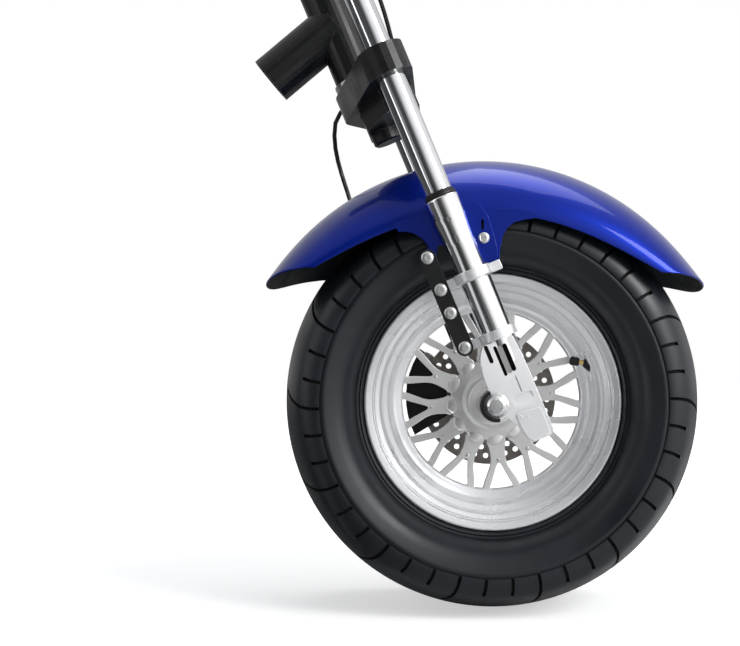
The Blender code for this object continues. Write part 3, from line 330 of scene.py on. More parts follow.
def buildEdgeRub():
    # 1 on convex edges: where the rounded normal leaves the face's own one
    group, start, end = newGroup("edgeRub", {"Width": 0.001, "Breakup": 350.0}, ["Mask"])
    coord = addNode(group, "TexCoord")
    bevel = addNode(group, "Bevel", {"samples": 4})
    plain = addNode(group, "NewGeometry")
    dot = addMath(group, "DOT_PRODUCT", False, "VectorMath")
    noise = addNode(group, "TexNoise", values={"Detail": 4.0, "Roughness": 0.65})
    ramp = addRange(group, 0.995, 0.9)
    broken = addRange(group, 0.35, 0.62)
    product = addMath(group, "MULTIPLY", True)
    wire(
        group,
        (start, "Width", bevel, "Radius"), (bevel, "Normal", dot, 0), (plain, "Normal", dot, 1),
        (dot, "Value", ramp, "Value"), (coord, "Object", noise, "Vector"),
        (start, "Breakup", noise, "Scale"), (noise, "Fac", broken, "Value"),
        (ramp, "Result", product, 0), (broken, "Result", product, 1), (product, "Value", end, "Mask"),
    )
    return group


def buildSmudge():
    # uneven gloss of handled metal and paint, between two roughness values
    group, start, end = newGroup("smudge", {"Scale": 30.0, "Low": 0.2, "High": 0.4}, ["Roughness", "Mask"])
    coord = addNode(group, "TexCoord")
    broad = addNode(group, "TexNoise", values={"Detail": 3.0, "Roughness": 0.5, "Distortion": 0.1})
    spread = addRange(group, 0.3, 0.7)
    wire(
        group,
        (coord, "Object", broad, "Vector"), (start, "Scale", broad, "Scale"),
        (broad, "Fac", spread, "Value"), (start, "Low", spread, "To Min"),
        (start, "High", spread, "To Max"), (spread, "Result", end, "Roughness"),
        (broad, "Fac", end, "Mask"),
    )
    return group


def buildTurnedLines():
    # the fine rings that a lathe tool leaves round the wheel's axle
    group, start, end = newGroup("turnedLines", {"Pitch": 9000.0}, ["Height"])
    coord = addNode(group, "TexCoord")
    centred = addNode(group, "Mapping", values={"Location": -axlePoint})
    flat = addMath(group, "MULTIPLY", False, "VectorMath")
    flat.inputs[1].default_value = (1.0, 0.0, 1.0)
    length = addMath(group, "LENGTH", False, "VectorMath")
    scaled = addMath(group, "MULTIPLY")
    wave = addMath(group, "SINE")
    noise = addNode(group, "TexNoise", {"noise_dimensions": "1D"}, {"Scale": 900.0, "Detail": 3.0})
    total = addMath(group, "ADD")
    wire(
        group,
        (coord, "Object", centred, "Vector"), (centred, "Vector", flat, 0), (flat, "Vector", length, 0),
        (length, "Value", scaled, 0), (start, "Pitch", scaled, 1), (scaled, "Value", wave, 0),
        (length, "Value", noise, "W"), (wave, "Value", total, 0), (noise, "Fac", total, 1),
        (total, "Value", end, "Height"),
    )
    return group


def buildFineGrain():
    # speckle of a casting, a moulding or a paint film
    group, start, end = newGroup("fineGrain", {"Scale": 900.0, "Stretch": (1.0, 1.0, 1.0)}, ["Height"])
    coord = addNode(group, "TexCoord")
    stretch = addMath(group, "MULTIPLY", False, "VectorMath")
    noise = addNode(group, "TexNoise", values={"Detail": 3.0, "Roughness": 0.55})
    wire(
        group,
        (coord, "Object", stretch, 0), (start, "Stretch", stretch, 1),
        (stretch, "Vector", noise, "Vector"), (start, "Scale", noise, "Scale"),
        (noise, "Fac", end, "Height"),
    )
    return group


def buildDust():
    # pale dust that settles in hollows and on what faces up
    group, start, end = newGroup("settledDust", {"Amount": 0.3, "Scale": 60.0}, ["Mask"])
    coord = addNode(group, "TexCoord")
    plain = addNode(group, "NewGeometry")
    split = addNode(group, "SeparateXYZ")
    upward = addRange(group, -0.4, 1.0, 0.25)
    noise = addNode(group, "TexNoise", values={"Detail": 6.0, "Roughness": 0.7})
    patch = addRange(group, 0.38, 0.68)
    first = addMath(group, "MULTIPLY")
    second = addMath(group, "MULTIPLY", True)
    wire(
        group,
        (plain, "Normal", split, "Vector"), (split, "Z", upward, "Value"),
        (coord, "Object", noise, "Vector"), (start, "Scale", noise, "Scale"),
        (noise, "Fac", patch, "Value"), (upward, "Result", first, 0), (patch, "Result", first, 1),
        (first, "Value", second, 0), (start, "Amount", second, 1), (second, "Value", end, "Mask"),
    )
    return group


groups = {
    "edgeRub": buildEdgeRub(), "smudge": buildSmudge(), "turnedLines": buildTurnedLines(),
    "fineGrain": buildFineGrain(), "settledDust": buildDust(),
}


def addGroup(tree, name, **values):
    node = tree.nodes.new("ShaderNodeGroup")
    node.node_tree = groups[name]
    for key, value in values.items():
        node.inputs[key].default_value = value
    return node


def newMaterial(name, metallic, **plain):
    material = bpy.data.materials.new(name)
    material.use_nodes = True
    tree = material.node_tree
    shader = tree.nodes["Principled BSDF"]
    shader.inputs["Metallic"].default_value = metallic
    for key, value in plain.items():
        shader.inputs[key.replace("_", " ")].default_value = value
    return material, tree, shader


def mixColours(tree, mask, first, second):
    # a colour between two, by a mask; each is a plain colour or another node's output
    mix = addNode(tree, "Mix", {"data_type": "RGBA"})
    tree.links.new(mask, mix.inputs[0])
    for value, socket in ((first, mix.inputs[6]), (second, mix.inputs[7])):
        if isinstance(value, tuple):
            socket.default_value = (*value, 1.0)
        else:
            tree.links.new(value, socket)
    return mix.outputs[2]


def addBump(tree, shader, height, strength, distance, under=None):
    bump = addNode(tree, "Bump", values={"Strength": strength, "Distance": distance})
    tree.links.new(height, bump.inputs["Height"])
    if under:
        tree.links.new(under, bump.inputs["Normal"])
    wire(tree, (bump, "Normal", shader, "Normal"))
    return bump.outputs["Normal"]


def roughenAndShadeMarked(tree, shader, colour, roughness, shadedRawSkin, rawRoughness):
    # faces that carry the mark "inside" get a rough skin and a dark colour, painted shade for grooves and
    # slots
    marked = addNode(tree, "Attribute", {"attribute_name": "inside"})
    rough = addNode(tree, "Mix", values={3: rawRoughness})
    wire(
        tree,
        (mixColours(tree, marked.outputs["Fac"], colour, shadedRawSkin), shader, "Base Color"),
        (marked, "Fac", rough, 0), (roughness, rough, 2), (rough, 0, shader, "Roughness"),
    )


def makeLook(name, look):
    # two tones with a smudge between them that also sets the gloss, then worn edges, dust, painted shade on
    # marked faces, and relief
    material, tree, shader = newMaterial(name, look["metallic"], **look.get("plain", {}))
    scale, low, high = look["smudge"]
    smudge = addGroup(tree, "smudge", Scale=scale, Low=low, High=high)
    colour = look["clean"]
    if "dull" in look:
        colour = mixColours(tree, smudge.outputs["Mask"], colour, look["dull"])
    if "mottle" in look:
        mottle = addGroup(tree, "fineGrain", Scale=look["mottle"])
        colour = mixColours(tree, mottle.outputs["Height"], colour, look["dull"])
    if "edges" in look:
        width, breakup, bare = look["edges"]
        rub = addGroup(tree, "edgeRub", Width=width, Breakup=breakup)
        colour = mixColours(tree, rub.outputs["Mask"], colour, bare)
    if "dust" in look:
        amount, scale, grey = look["dust"]
        dust = addGroup(tree, "settledDust", Amount=amount, Scale=scale)
        colour = mixColours(tree, dust.outputs["Mask"], colour, grey)
    if "shadedRawSkin" in look:
        roughenAndShadeMarked(tree, shader, colour, smudge.outputs["Roughness"], *look["shadedRawSkin"])
    else:
        wire(tree, (colour, shader, "Base Color"), (smudge, "Roughness", shader, "Roughness"))
    if "asCast" in look:
        # the foot is only cleaned up, so it has less of a mirror than the turned barrel
        foot = addNode(tree, "Attribute", {"attribute_name": "asCast"})
        mirror = addNode(tree, "MapRange", values={"To Min": look["metallic"], "To Max": look["asCast"]})
        wire(tree, (foot, "Fac", mirror, "Value"), (mirror, "Result", shader, "Metallic"))
    under = None
    for kind, settings, strength, distance in look.get("relief", ()):
        relief = addGroup(tree, kind, **settings)
        under = addBump(tree, shader, relief.outputs["Height"], strength, distance, under)
    return material


def makeBluePaint():
    look = {"deep": (0.001, 0.006, 0.15), "lit": (0.002, 0.026, 0.36), "primer": (0.02, 0.06, 0.26)}
    material, tree, shader = newMaterial(
        "bluePaint", 0.6, Coat_Weight=0.6, Coat_Roughness=0.06, Coat_IOR=1.35, Specular_IOR_Level=0.05
    )
    smudge = addGroup(tree, "smudge", Scale=9.0, Low=0.30, High=0.42)
    flake = addGroup(tree, "fineGrain", Scale=3500.0)
    peel = addGroup(tree, "fineGrain", Scale=120.0)
    rub = addGroup(tree, "edgeRub", Width=0.0006, Breakup=220.0)
    under = addGroup(tree, "smudge", Scale=60.0, Low=0.5, High=0.7)
    inside = addNode(tree, "Attribute", {"attribute_name": "inside"})
    base = mixColours(tree, flake.outputs["Height"], look["deep"], look["lit"])
    worn = mixColours(tree, rub.outputs["Mask"], base, look["primer"])
    # the guard's inside faces are painted near-black as shade
    paintedShadeInside = mixColours(tree, under.outputs["Mask"], (0.006, 0.007, 0.008), (0.022, 0.026, 0.030))
    colour = mixColours(tree, inside.outputs["Fac"], worn, paintedShadeInside)
    gloss = addMath(tree, "SUBTRACT", True)
    gloss.inputs[0].default_value = 0.6
    rough = addNode(tree, "Mix")
    wire(
        tree,
        (colour, shader, "Base Color"), (inside, "Fac", gloss, 1),
        (gloss, "Value", shader, "Coat Weight"), (inside, "Fac", rough, 0),
        (smudge, "Roughness", rough, 2), (under, "Roughness", rough, 3), (rough, 0, shader, "Roughness"),
    )
    addBump(tree, shader, peel.outputs["Height"], 0.03, 0.0003)
    return material


brightAlloy = makeLook("brightAlloy", {
    "metallic": 0.6, "clean": (0.97, 0.975, 0.98), "dull": (0.84, 0.85, 0.87),
    "smudge": (11.0, 0.24, 0.34), "mottle": 60.0,
})
satinAlloy = makeLook("satinAlloy", {
    "metallic": 0.65, "clean": (0.82, 0.82, 0.825), "dull": (0.66, 0.65, 0.635),
    "smudge": (38.0, 0.28, 0.40), "edges": (0.0010, 350.0, (0.93, 0.93, 0.93)),
    "relief": [("fineGrain", {"Scale": 900.0}, 0.10, 0.0001)],
})
castAlloy = makeLook("castAlloy", {
    "metallic": 1.0, "clean": (0.95, 0.955, 0.96), "dull": (0.82, 0.825, 0.84),
    "smudge": (18.0, 0.08, 0.15), "edges": (0.0010, 350.0, (0.97, 0.97, 0.97)),
    # marked slots are painted near-black as shade, with a rough skin
    "shadedRawSkin": ((0.020, 0.018, 0.018), 0.7), "asCast": 0.35,
    "relief": [("fineGrain", {"Scale": 300.0}, 0.03, 0.0001)],
})
chrome = makeLook("hardChrome", {
    "metallic": 1.0, "clean": (0.80, 0.81, 0.83), "dull": (0.66, 0.67, 0.70),
    "smudge": (45.0, 0.04, 0.11),
    "relief": [("fineGrain", {"Scale": 500.0, "Stretch": (1.0, 1.0, 6.0)}, 0.03, 0.0001)],
})
zincSteel = makeLook("zincSteel", {
    "metallic": 1.0, "clean": (0.78, 0.79, 0.80), "dull": (0.50, 0.50, 0.50),
    "smudge": (120.0, 0.22, 0.45), "edges": (0.0006, 900.0, (0.92, 0.92, 0.92)),
    "relief": [("fineGrain", {"Scale": 2000.0}, 0.15, 0.0001)],
})
discSteel = makeLook("discSteel", {
    "metallic": 1.0, "plain": {"Anisotropic": 0.5}, "clean": (0.46, 0.42, 0.38),
    "dull": (0.27, 0.25, 0.24), "smudge": (70.0, 0.28, 0.45),
    "relief": [("turnedLines", {"Pitch": 16000.0}, 0.35, 0.00008)],
})
bluePaint = makeBluePaint()
blackPaint = makeLook("blackPaint", {
    "metallic": 0.0, "plain": {"Coat_Weight": 0.12, "Coat_Roughness": 0.2, "Specular_IOR_Level": 0.3},
    "clean": (0.004, 0.0045, 0.005), "smudge": (40.0, 0.30, 0.46),
    "edges": (0.0007, 500.0, (0.16, 0.16, 0.17)), "dust": (0.03, 120.0, (0.25, 0.25, 0.26)),
    "relief": [("fineGrain", {"Scale": 900.0}, 0.12, 0.0002)],
})
tyreRubber = makeLook("tyreRubber", {
    "metallic": 0.0, "plain": {"Specular_IOR_Level": 0.4}, "clean": (0.0022, 0.0036, 0.0052),
    "dull": (0.0075, 0.011, 0.016), "smudge": (12.0, 0.34, 0.52),
    # grooves marked "inside" are painted darker as shade
    "dust": (0.10, 28.0, (0.05, 0.06, 0.075)), "shadedRawSkin": ((0.0008, 0.001, 0.0014), 0.9),
    "relief": [
        ("fineGrain", {"Scale": 1100.0}, 0.2, 0.0003),
        ("turnedLines", {"Pitch": 2600.0}, 0.05, 0.0002),
    ],
})
softRubber = makeLook("softRubber", {
    "metallic": 0.0, "plain": {"Specular_IOR_Level": 0.35}, "clean": (0.004, 0.004, 0.005),
    "dull": (0.012, 0.012, 0.014), "smudge": (90.0, 0.38, 0.6),
    "relief": [("fineGrain", {"Scale": 1800.0}, 0.2, 0.0002)],
})
brass = makeLook("brass", {
    "metallic": 1.0, "clean": (0.78, 0.58, 0.22), "dull": (0.42, 0.30, 0.13),
    "smudge": (200.0, 0.2, 0.42), "relief": [("fineGrain", {"Scale": 2500.0}, 0.1, 0.0001)],
})
print("materials ready")


# tyre: one pitch of tread is spun and grooved, then copied round
def markGrooves(piece, profile, shoulder):
    # faces that lie under the skin, down to 6 mm, belong to the grooves and are marked to be painted darker
    # as shade
    shadeMarks = piece.data.attributes.new("inside", "FLOAT", "FACE")
    for face in piece.data.polygons:
        point = Vector((math.hypot(face.center.x, face.center.y), abs(face.center.z)))
        if point.x < shoulder + 1.0 * mm:
            continue
        under = 1.0
        for first, second in zip(profile, profile[1:]):
            first, along = Vector(first), Vector(second) - Vector(first)
            share = min(1.0, max(0.0, (point - first).dot(along) / along.length_squared))
            under = min(under, (point - first - along * share).length)
        shadeMarks.data[face.index].value = 1.0 if 0.7 * mm < under < 6.0 * mm else 0.0


def buildTyre():
    tyre = {
        "crown": 229.1 * mm, "half": 101.4 * mm, "bead": 127.9 * mm, "flange": 139.0 * mm,
        "rimHalf": 59.5 * mm, "wall": 9.0 * mm, "pitches": 14, "stepsPerPitch": 48, "leanSteps": 14,
        "shoulder": 181.2 * mm,
        "long": ((0, 1), 225.0 * mm, 4.6 * mm),  # columns, end radius and depth of the grooves
        "short": ((16, 17, 32, 33), 203.0 * mm, 3.4 * mm),
        "turn": 2.2,  # degrees, to bring the grooves where the photograph has them
        # the outer skin in mm, from flange and rim, flange and side, shoulder and side, crown and side
        "beadLine": (
            (-0.6, -4.6), (0.8, -0.6), (2.2, 2.6), (3.8, 3.6), (5.4, 2.8), (7.4, 3.4), (9.6, 8.6), (12, 17),
        ),
        "wallLine": ((15.5, -15.0), (21.0, -8.6), (29.0, -3.8), (36.5, -1.2), (38.0, -0.2), (40.2, 0)),
        "ridge": ((-0.6, -0.4), (0, -2.0), (0.9, -2.0), (1.8, -0.5), (6.0, 0), (13.0, -2.0)),
        "crownLine": (
            (-27, -6.2), (-22.5, -12), (-19, -18.6), (-14, -30), (-9.6, -43.4), (-6, -57), (-3, -72),
            (-1, -87),
        ),
    }
    half, crown, flange, bead = tyre["half"], tyre["crown"], tyre["flange"], tyre["bead"]
    edge, shoulder = tyre["rimHalf"], tyre["shoulder"]
    side = fromMm([(0, -7.8), (6.0, -6.4)], bead, edge)
    side += fromMm(tyre["beadLine"], flange, edge)
    side += fromMm(tyre["wallLine"], flange, half)
    side += fromMm(tyre["ridge"], shoulder, half)
    side += fromMm(tyre["crownLine"], crown, half) + [(crown, 0.0)]
    wall = tyre["wall"]
    lining = [
        (crown - wall - 1.0 * mm, 0.0),
        (crown - wall - 5.0 * mm, half - 50.0 * mm),
        (crown - 27.0 * mm, half - 28.0 * mm),
        (flange + 45.0 * mm, half - wall - 1.0 * mm),
        (flange + 18.0 * mm, half - 14.0 * mm - wall),
    ]
    lining += fromMm([(12.0, -14.0), (0, -17.0), (0, -7.8)], bead, edge)
    pitch = math.tau / tyre["pitches"]
    step = pitch / tyre["stepsPerPitch"]

    def leanAt(radius):
        # grooves run on towards lower angles as they near the crown
        reach = max(0.0, (radius - shoulder) / (crown - shoulder))
        return -tyre["leanSteps"] * step * reach**3

    skin = startPoint("tyreSkin")
    drawLine([Vector((r * math.cos(leanAt(r)), r * math.sin(leanAt(r)), z)) for r, z in side])
    selectMesh()
    bpy.ops.mesh.spin(steps=tyre["stepsPerPitch"], angle=pitch, center=(0, 0, 0), axis=(0, 0, 1))
    selectMesh()
    bpy.ops.mesh.remove_doubles(threshold=0.00001)
    bpy.ops.mesh.normals_make_consistent(inside=False)
    bpy.ops.mesh.select_all(action="DESELECT")
    setMode("OBJECT")
    outward = 1.0 if max(skin.data.polygons, key=lambda face: face.center.z).normal.z > 0 else -1.0
    setMode("EDIT")
    bpy.ops.mesh.select_mode(type="FACE")
    setMode("OBJECT")
    for kind in ("long", "short"):
        columns, end, depth = tyre[kind]
        for face in skin.data.polygons:
            x, y, z = face.center
            radius = math.hypot(x, y)
            column = int((leanAt(radius) - math.atan2(y, x)) / step + 0.001)
            face.select = column in columns and shoulder + 1.5 * mm < radius < end
        setMode("EDIT")
        bpy.ops.mesh.extrude_region_shrink_fatten(TRANSFORM_OT_shrink_fatten={"value": -depth * outward})
        bpy.ops.mesh.select_all(action="DESELECT")
        setMode("OBJECT")
    setMode("EDIT")
    bpy.ops.mesh.select_mode(type="VERT")
    setMode("OBJECT")
    right = ringOf(skin, "tyreRight", tyre["pitches"])
    left = copyAt(right, "tyreLeft", Matrix.Rotation(math.pi, 4, "X"))
    steps = tyre["pitches"] * tyre["stepsPerPitch"]
    inner = turn("tyreLining", lining, steps)
    innerLeft = copyAt(inner, "tyreLiningLeft", Matrix.Rotation(math.pi, 4, "X"))
    whole = joinAll("tyre_tread", [right, left, inner, innerLeft])
    setMode("EDIT")
    closeUp()
    markGrooves(whole, side, shoulder)
    turned = wheelPlace @ Matrix.Rotation(math.radians(tyre["turn"]), 4, "Z")
    dress(whole, turned, tyreRubber, "wheel", ["tyre"], 34.0)


# cast wheel: barrel, twelve split arms and a lobed hub
rimSizes = {
    "flange": 139.0 * mm, "half": 59.5 * mm, "ring": 99.8 * mm, "web": 6.5 * mm, "arms": 12,
    "phase": 22.0, "hub": 26.5 * mm, "hubEnd": 50.0 * mm, "boss": 46.0 * mm,
}


def buildBarrel():
    flange, half, web, ring = rimSizes["flange"], rimSizes["half"], rimSizes["web"], rimSizes["ring"]
    face = [(0, -3.0), (-0.5, -0.7), (-2.2, 0), (-8.8, -1.5), (-9.6, -3.4), (-10.2, -10.2), (-11.6, -11.0)]
    face += [(-16.2, -12.7), (-17.4, -14.6), (-18.2, -25.2), (-19.4, -26.2), (-24.2, -27.2), (-25.4, -29.4)]
    back = [(-28.0, 22.0), (-12.2, 9.0), (-7.2, 1.4), (-2.6, 0), (-0.6, 0.7), (0, 3.0)]
    bed = [(-5.2, 6.4), (-11.4, 7.8), (-12.4, 24.0), (-20.7, 33.0)]
    section = fromMm(face, flange, half) + fromMm([(-27.7, 8.6), (-29.2, 5.2), (-33.5, 3.0)], flange, web)
    section += fromMm([(1.6, 1.6), (0, -0.2)], ring, web) + fromMm([(0, 0.2), (3.0, -3.0)], ring, -web)
    section += fromMm([(-30.4, -6.4)], flange, -web) + fromMm(back + bed, flange, -half)
    section += fromMm([(x, -y) for x, y in bed[::-1]], flange, half)
    barrel = turnRing("cast_wheel", section, 0.8 * mm, 2, 144)
    dress(barrel, wheelPlace, brightAlloy, "wheel", ["rim"], 28.0)


def armOutline():
    # one arm: a stem from the hub that splits in two below the ring, between two windows
    root, way = rimSizes["boss"], rimSizes["ring"] - rimSizes["boss"]
    # share of the way from boss to ring, and degrees from the stem's middle or from the window's
    beside = [(0.056, 2.2), (0.13, 5.2), (0.30, 7.4), (0.43, 7.9), (0.56, 7.0), (0.875, 3.4), (0.963, 3.0)]
    beside.append((1.05, 2.0))
    inside = ((1.05, 7.6), (0.944, 7.3), (0.818, 5.8), (0.632, 3.7), (0.511, 2.0), (0.468, 0.8))
    middle = 180.0 / rimSizes["arms"]
    upper = [(38.0 * mm, middle - 2.0)] + [(root + way * share, middle - aside) for share, aside in beside]
    upper += [(root + way * share, aside) for share, aside in inside]
    return [polar(r, d) for r, d in upper] + [polar(r, -d) for r, d in upper[::-1]]


def buildArms():
    web = rimSizes["web"]
    arm = cutPlate("arm", rounded(armOutline(), 1.2 * mm, 2), -web, web)
    roundEdges(arm, 1.3 * mm, 3, 40.0)
    first = math.radians(rimSizes["phase"] + 180.0 / rimSizes["arms"])
    arms = ringOf(arm, "wheel_arms", rimSizes["arms"], first)
    dress(arms, wheelPlace, satinAlloy, "wheel", (), 30.0)

    # a small rivet where each arm splits
    rivet = {"radius": 1.9 * mm, "height": 1.1 * mm, "out": 67.5 * mm}
    r, top = rivet["radius"], web + rivet["height"]
    head = turn("rivet", soften([(0.0, top), (r, top), (r, web - mm)], 0.8 * mm), 20)
    settle(head, Matrix.Translation((rivet["out"], 0.0, 0.0)))
    rivets = ringOf(head, "arm_rivets", rimSizes["arms"], first)
    dress(rivets, wheelPlace, zincSteel, "wheel")


def buildHub():
    hub = {"bore": 8.1 * mm, "leftEnd": -79.7 * mm, "seat": 34.0 * mm, "seatDepth": 7.0 * mm}
    r, end, boss, web = rimSizes["hub"], rimSizes["hubEnd"], rimSizes["boss"], rimSizes["web"]
    seatTop = hub["leftEnd"] + hub["seatDepth"]
    profile = [(hub["bore"], end - 1.0 * mm)] + fromMm([(17.0, -1.0), (17.6, 0)], 0.0, end)
    profile += fromMm([(-2.0, 0), (0, -2.0)], r, end) + fromMm([(0, 22.0), (1.5, 17.0), (6.0, 13.5)], r)
    profile += fromMm([(-8.0, 11.0)], boss) + fromMm([(-1.5, 1.5), (0, -1.0)], boss, web)
    profile += fromMm([(0, 1.0), (-4.0, -2.0)], boss, -web) + fromMm([(4.0, -16.0), (0, -22.0)], r)
    profile += [(r, hub["leftEnd"] + 12.0 * mm), (hub["seat"], seatTop), (hub["seat"], hub["leftEnd"])]
    core = turnRing("wheel_hub", profile + [(hub["bore"], hub["leftEnd"])], 1.2 * mm, 3, 96)
    dress(core, wheelPlace, satinAlloy, "wheel", (), 28.0)

    # the round lobes at the arms' roots
    lobe = {"out": 40.5 * mm, "across": 10.4 * mm, "along": 10.2 * mm, "height": 3.8 * mm}
    deselect()
    bpy.ops.mesh.primitive_uv_sphere_add(segments=32, ring_count=20, radius=1.0)
    petal = bpy.context.object
    setMode("EDIT")
    bpy.ops.transform.resize(value=(lobe["along"], lobe["across"], lobe["height"]))
    bpy.ops.mesh.bisect(plane_co=(0, 0, -1.0 * mm), plane_no=(0, 0, 1), clear_inner=True, use_fill=True)
    setMode("OBJECT")
    settle(petal, Matrix.Translation((lobe["out"], 0.0, web)))
    first = math.radians(rimSizes["phase"] + 180.0 / rimSizes["arms"])
    lobes = ringOf(petal, "hub_lobes", rimSizes["arms"], first)
    dress(lobes, wheelPlace, satinAlloy, "wheel")


def buildDisc():
    disc = {"outer": 80.0 * mm, "bore": 23.5 * mm, "middle": -82.0 * mm, "half": 2.0 * mm}
    holes = {"radius": 3.2 * mm, "depth": 12.0 * mm, "places": ((60.0, 0.0), (70.0, -5.5), (70.0, 5.5))}
    outer, bore = disc["outer"], disc["bore"]
    low, high = disc["middle"] - disc["half"], disc["middle"] + disc["half"]
    section = [(outer, high), (outer, low), (bore, low), (bore, high)]
    plate = turnRing("brake_rotor", section, 0.4 * mm, 1, 120)
    for i in range(rimSizes["arms"]):
        for out, aside in holes["places"]:
            x, y = polar(out * mm, rimSizes["phase"] + 360.0 / rimSizes["arms"] * i + aside)
            cutAway(plate, addCylinder(16, holes["radius"], holes["depth"], (x, y, disc["middle"])))
    dress(plate, wheelPlace, discSteel, "wheel", ["brake_disc"])


def buildValve():
    # it leans back in the window, as in the photograph
    valve = {"turn": 20.0, "out": 118.0 * mm, "plane": 24.0 * mm, "lean": -30.0}
    foot = fromMm([(0, 0), (8.6, 0), (8.4, -2.2), (5.2, -8.4), (4.0, -9.8), (0, -9.8)])
    rubberFoot = turn("valve_foot", soften(foot, 0.8 * mm), 32)
    stem = fromMm([(0, -9.0), (2.7, -9.0), (2.7, -16.0), (0, -16.0)])
    brassStem = turn("valve_tube", soften(stem, 0.3 * mm), 28)
    cap = fromMm([(0, -14.5), (4.6, -14.5), (5.0, -23.5), (3.2, -25.0), (0, -25.0)])
    blackCap = turn("valve_cap", soften(cap, 1.2 * mm), 28)
    x, y = polar(valve["out"], valve["turn"])
    turned = math.radians(valve["turn"] + valve["lean"])
    stand = Matrix.Translation((x, y, valve["plane"])) @ Matrix.Rotation(turned, 4, "Z")
    place = wheelPlace @ stand @ Matrix.Rotation(math.pi / 2, 4, "Y")
    dress(rubberFoot, place, softRubber, "wheel", ["valve_stem"])
    dress(brassStem, place, brass, "wheel")
    dress(blackCap, place, softRubber, "wheel")


# mudguard: double curved, so each point of its grid is placed by a rule, inside the solid's
guardSizes = {
    "radius": 277.6 * mm, "centre": (-9.0 * mm, -11.0 * mm), "wall": 2.6 * mm, "halfWidth": 109.3 * mm,
    "side": 71.0 * mm, "tipSide": 22.0 * mm, "fade": 18.0, "front": 27.6, "rear": 153.4,
    "bow": 10.5,  # degrees by which the side edges end before the ridge
}


def guardRadius(degrees):
    a = math.radians(degrees)
    along = guardSizes["centre"][0] * math.cos(a) + guardSizes["centre"][1] * math.sin(a)
    across = guardSizes["centre"][0] * math.sin(a) - guardSizes["centre"][1] * math.cos(a)
    return along + math.sqrt(guardSizes["radius"] ** 2 - across**2)


def edgeDepth(degrees):
    # how far the side edge lies below the ridge, less and less towards both tips
    fromTip = min(degrees - guardSizes["front"], guardSizes["rear"] - degrees)
    fade = 1 - math.exp(-fromTip / guardSizes["fade"])
    return guardSizes["tipSide"] + (guardSizes["side"] - guardSizes["tipSide"]) * fade


def edgeRadius(forkDegrees):
    # where the guard's side edge lies, by an angle in the fork's side view
    degrees = forkDegrees + math.degrees(rake)
    return guardRadius(degrees) - edgeDepth(degrees)


def guardPoint(share, turned):
    front, rear = guardSizes["front"], guardSizes["rear"]
    bow = guardSizes["bow"] * (1 - math.sqrt(max(0.0, 1 - math.sin(turned) ** 2)))
    degrees = (front + rear) / 2 + ((rear - front) / 2 - bow) * share
    x, y = polar(guardRadius(degrees) - edgeDepth(degrees) * (1 - math.cos(turned)), degrees)
    return (x, y, guardSizes["halfWidth"] * math.sin(turned))


def buildMudguard():
    grid = {"along": 96, "across": 48}
    deselect()
    bpy.ops.mesh.primitive_grid_add(x_subdivisions=grid["along"], y_subdivisions=grid["across"], size=2.0)
    guard = bpy.context.object
    guard.name = "mudguard_shell"
    for vertex in guard.data.vertices:
        vertex.co = guardPoint(vertex.co.x, math.pi / 2 * vertex.co.y)
    useModifier(guard, "SOLIDIFY", thickness=guardSizes["wall"], offset=-1.0)
    setMode("EDIT")
    closeUp()
    roundEdges(guard, 0.9 * mm, 2, 60.0)
    # the inside faces are marked, and the paint's material turns them near-black, as painted shade
    inside = guard.data.attributes.new("inside", "FLOAT", "FACE")
    for face in guard.data.polygons:
        x, y, z = face.center
        out = Vector((x - guardSizes["centre"][0], y - guardSizes["centre"][1], z)).normalized()
        inside.data[face.index].value = 1.0 if face.normal.dot(out) < -0.05 else 0.0
    dress(guard, wheelPlace, bluePaint, "fork", ["mudguard"], 40.0)

    for side, way in sides.items():
        buildEars(side, way)


earSizes = {
    "rear": (legLead - 36.3 * mm, 165.0 * mm), "front": (legLead + 25.7 * mm, 163.0 * mm),
    "tip": (legLead + 25.7 * mm, 132.5 * mm), "round": 8.3 * mm, "tipRound": 5.8 * mm,
    "overlap": 6.0 * mm, "patch": 1.1 * mm,
    # outlines in mm from the rear and the front bolt
    "back": ((-17, 37.5), (-11.6, 36), (-4, 31), (2.3, 22.9), (5.9, 11.6)),
    "ahead": ((10.8, -17.7), (19.5, -4.8), (27.3, 1), (36.3, 3), (47.1, 1.2), (54.0, -1.0), (57.0, -1.0)),
    "stiff": (
        (-15, -20), (-15, 37), (0, 37.5), (8, 36.5), (10.5, 30), (13, 21), (11.5, 3), (8.3, -18), (3.8, -25),
        (-4.5, -25),
    ),
    "slot": (4.0 * mm, 13.5 * mm, 3.9 * mm, 1.4 * mm),  # place, half the length and radius
}


